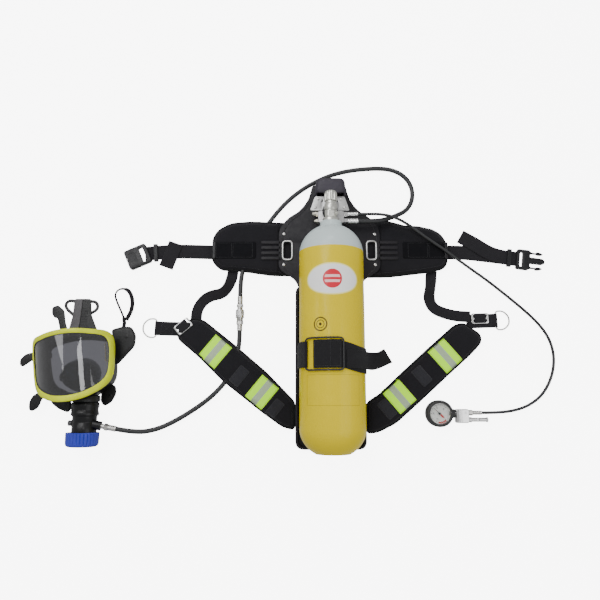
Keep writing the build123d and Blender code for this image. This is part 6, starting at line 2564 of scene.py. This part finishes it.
    def _harness(self) -> None:
        """The rubber head straps, ribbed along their grips, with a grey fold laid over the top band."""
        straps = []
        for outline, spine in ((((-668, -78), (-683, -42), (-690, -16), (-697, -16), (-705, -6), (-706, 12),
                                (-691, 18), (-674, 4), (-668, -30), (-650, -74)),
                                ((-662, -66), (-697, 12))),
                               (((-696, -118), (-742, -120), (-752, -128), (-768, -139), (-776, -134),
                                 (-776, -120), (-764, -107), (-746, -102), (-738, -105), (-698, -102)),
                                 ((-700, -111), (-768, -126))),
                               (((-684, -188), (-718, -197), (-738, -210), (-745, -226), (-744, -244),
                                 (-736, -248), (-722, -240), (-716, -226), (-712, -214), (-682, -204)),
                                 ((-690, -197), (-737, -236))),
                               (((-650, 34), (-608, 34), (-604, -8), (-588, -45), (-584, -64), (-660, -78),
                                 (-660, -46), (-652, -8)), ((-628, 26), (-626, -52)))):
            line = [mm(p.x, p.y) for p in rounded([Vector(c) for c in outline], 6, 6)]
            straps.append(sheet_plate([line], 24, 27, 1.1))
            a, b = Vector(spine[0]), Vector(spine[1])
            run = (b - a).normalized()
            angle = math.degrees(math.atan2(run.y, run.x))
            wide = 26 if outline[0][1] > 0 else 8
            for k in range(9):
                spot = a.lerp(b, 0.22 + 0.7 * k / 8)
                straps.append(sheet_plate([box_outline(1.5, wide, 0.6)], 0, 0.8, 0.3,
                                          level_turn(spot.x, spot.y, 26.8, angle), steps=2))
        fold = [(-628, 33), (-649, 33), (-651, -8), (-659, -46), (-658, -74), (-640, -71), (-632, -30)]
        worn = sheet_plate([[mm(p.x, p.y) for p in rounded([Vector(c) for c in fold], 4)]], 26.2, 29.4, 1.0)
        Piece("head_band_fold", Finish.BAND_GREY, "harness_rubber").add(worn)
        Piece("head_harness", Finish.MASK_RUBBER, "harness_rubber",
              replaces=("head_harness",)).add(joined(straps))

    def _loops(self) -> None:
        """The thin loops beside the top band, and the neck strap hanging from its lobe."""
        loops = []
        for route in (((-644, 27), (-668, 31), (-676, 13), (-648, -10)),
                      ((-612, 28), (-594, 26), (-590, 8), (-608, -3))):
            line = evenly(soften([mm(x, y, 21.5) for x, y in route], 3, closed=False), 0.003)
            loops.append(wire(line, 4.2, sides=10, flat=0.7))
        Piece("side_loops", Finish.BLACK_RUBBER, "harness_rubber",
              replaces=("side_loops",)).add(joined(loops))
        route = [(-540, -70), (-527, -38), (-526, -16), (-548, 28), (-556, 50), (-543, 65), (-520, 62),
                 (-508, 36), (-509, 8), (-522, -18)]
        line = evenly(soften([mm(x, y, 5.8) for x, y in route], 2, closed=False), 0.004)
        ups = []
        for i in range(len(line)):
            run = (line[min(i + 1, len(line) - 1)] - line[max(i - 1, 0)]).normalized()
            flat_side = (line[i].x + 0.535) / 0.012
            lean = min(1.0, max(0.4, flat_side, (-0.004 - line[i].y) / 0.012))
            ups.append((Vector((-run.y, run.x, 0)) * (1.25 - lean) + Vector((0, 0,
                    1.1 * lean))).normalized())
        Piece("neck_strap", Finish.HARNESS_WEB, "harness_rubber", replaces=("neck_strap",)).add(
            ribbon(line, 10.5, 3.4, ups))


# ---------------------------------------------------------------- demand valve
@dataclass
class DemandValve:
    """The demand valve: glossy housing, side button and ribbed blue cap."""

    axis: Point = (-598.0, 45.0)
    start_y: float = -224.3
    cap_x: float = -601.0
    cap_y: float = -297.0
    button: Point = (-637.0, -275.0)

    def build(self) -> None:
        """Makes the housing, the button and the cap."""
        self._housing()
        self._button()
        self._cap()

    def _housing(self) -> None:
        """The stepped housing with its bayonet lugs, hose port and button boss."""
        x, z = self.axis
        place = facing((x, self.start_y, z), (0, -1, 0))
        main = lathe([(0.2, -21.8), (20.2, -21.8), (21.6, -20.6), (21.6, -3.6), (27.4, -3.4), (29.6, -1.4),
                      (30.4, 1.2), (32.4, 4), (32.8, 10), (31.2, 15), (30.8, 20), (32.2, 25), (32.9, 29),
                      (32, 32.4), (29.4, 33.8), (28.6, 36), (28.8, 46), (28.0, 47), (28.0, 50), (28.8, 51),
                      (29, 74), (28.2, 77.8), (26, 78.8), (0.2, 78.8)], place, 96)
        lugs = []
        for k in range(3):
            angle = math.radians(30 + 120 * k)
            spot = Matrix.Translation(mm(x + 30.6 * math.cos(angle), self.start_y - 17,
                                         z + 30.6 * math.sin(angle)))
            lug = sheet_plate([box_outline(9, 12, 2)], -1.8, 1.8, 1.0)
            lugs.append(placed(lug, spot @ Matrix.Rotation(math.pi / 2 - angle, 4, "Y")))
        port = lathe([(0.2, 0), (11, 0), (11, 20), (9.8, 21.2), (9.8, 23), (11, 24), (11, 25), (10.2, 25.8),
                      (0.2, 25.8)],
                     facing((-556, -282, 49), (-35, 7, 5)), 48)
        boss = lathe([(7.5, 0), (8.6, -0.2), (10, 1.4), (10, 12), (7.5, 12), (7.5, 0)],
                     facing((self.button[0] + 9, self.button[1], z), (1, 0, 0)), 48)
        Piece("demand_valve", Finish.HOUSING, "valve_housing", replaces=("demand_valve",)).add(
            joined([main, port, boss] + lugs), 40)

    def _button(self) -> None:
        """The release button in the boss."""
        cap = lathe([(0.2, 0.5), (3.4, 0.5), (3.8, 0.1), (5.8, 0.1), (6.9, 1.3), (6.9, 12.8), (0.2, 12.8)],
                    facing((self.button[0], self.button[1], self.axis[1]), (1, 0, 0)), 48)
        Piece("release_button", Finish.BUTTON, "button_red", "button", ("release_button",)).add(cap)

    def _cap(self) -> None:
        """The blue cap: fluted rim, stepped face and a hollow towards the housing."""
        def flutes(radius: float, height: float, angle: float) -> float:
            """Cuts grip flutes into the rim.

            Args:
                radius: radius of the plain shape, in millimetres.
                height: height along the axis, in millimetres.
                angle: direction round the axis, in radians.

            Returns:
                The changed radius.
            """
            if radius < 37.5 or height > 29:
                return radius
            return radius - 2.1 * max(0.0, math.cos(28 * angle)) ** 2

        profile = [(33, 0), (38.2, 0), (39, 0.8), (39, 4), (38.9, 14), (38.7, 22), (38.3, 27.5),
                   (37.4, 29.4), (35.6, 31.8), (32, 33.4), (28, 34), (24, 33.9), (23, 32.8), (21.6, 32.6),
                   (20, 33.4), (8, 34), (0.2, 34), (0.2, 11), (33, 11), (33, 0)]
        mesh = lathe(profile, facing((self.cap_x, self.cap_y, self.axis[1]), (0, -1, 0)), 224, flutes)
        Piece("purge_cap", Finish.CAP_BLUE, "cap_blue", "cap", ("purge_cap",)).add(mesh, 40)


ASSEMBLIES = (Studio, Hoses, AirCylinder, CylinderStrap, BackPlate, Reducer, HipBelt, WaistBuckle,
              ShoulderStraps, PressureGauge, FaceMask, DemandValve)


def write_sizes() -> None:
    """Updates the view layer; the boxes are not written."""
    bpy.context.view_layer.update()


def main() -> None:
    """Builds the studio and every sub-assembly in order."""
    logging.basicConfig(level=logging.INFO, format="%(message)s")
    for assembly in ASSEMBLIES:
        LOG.info("building %s", assembly.__name__)
        assembly().build()
    write_sizes()


if __name__ == "__main__":
    main()
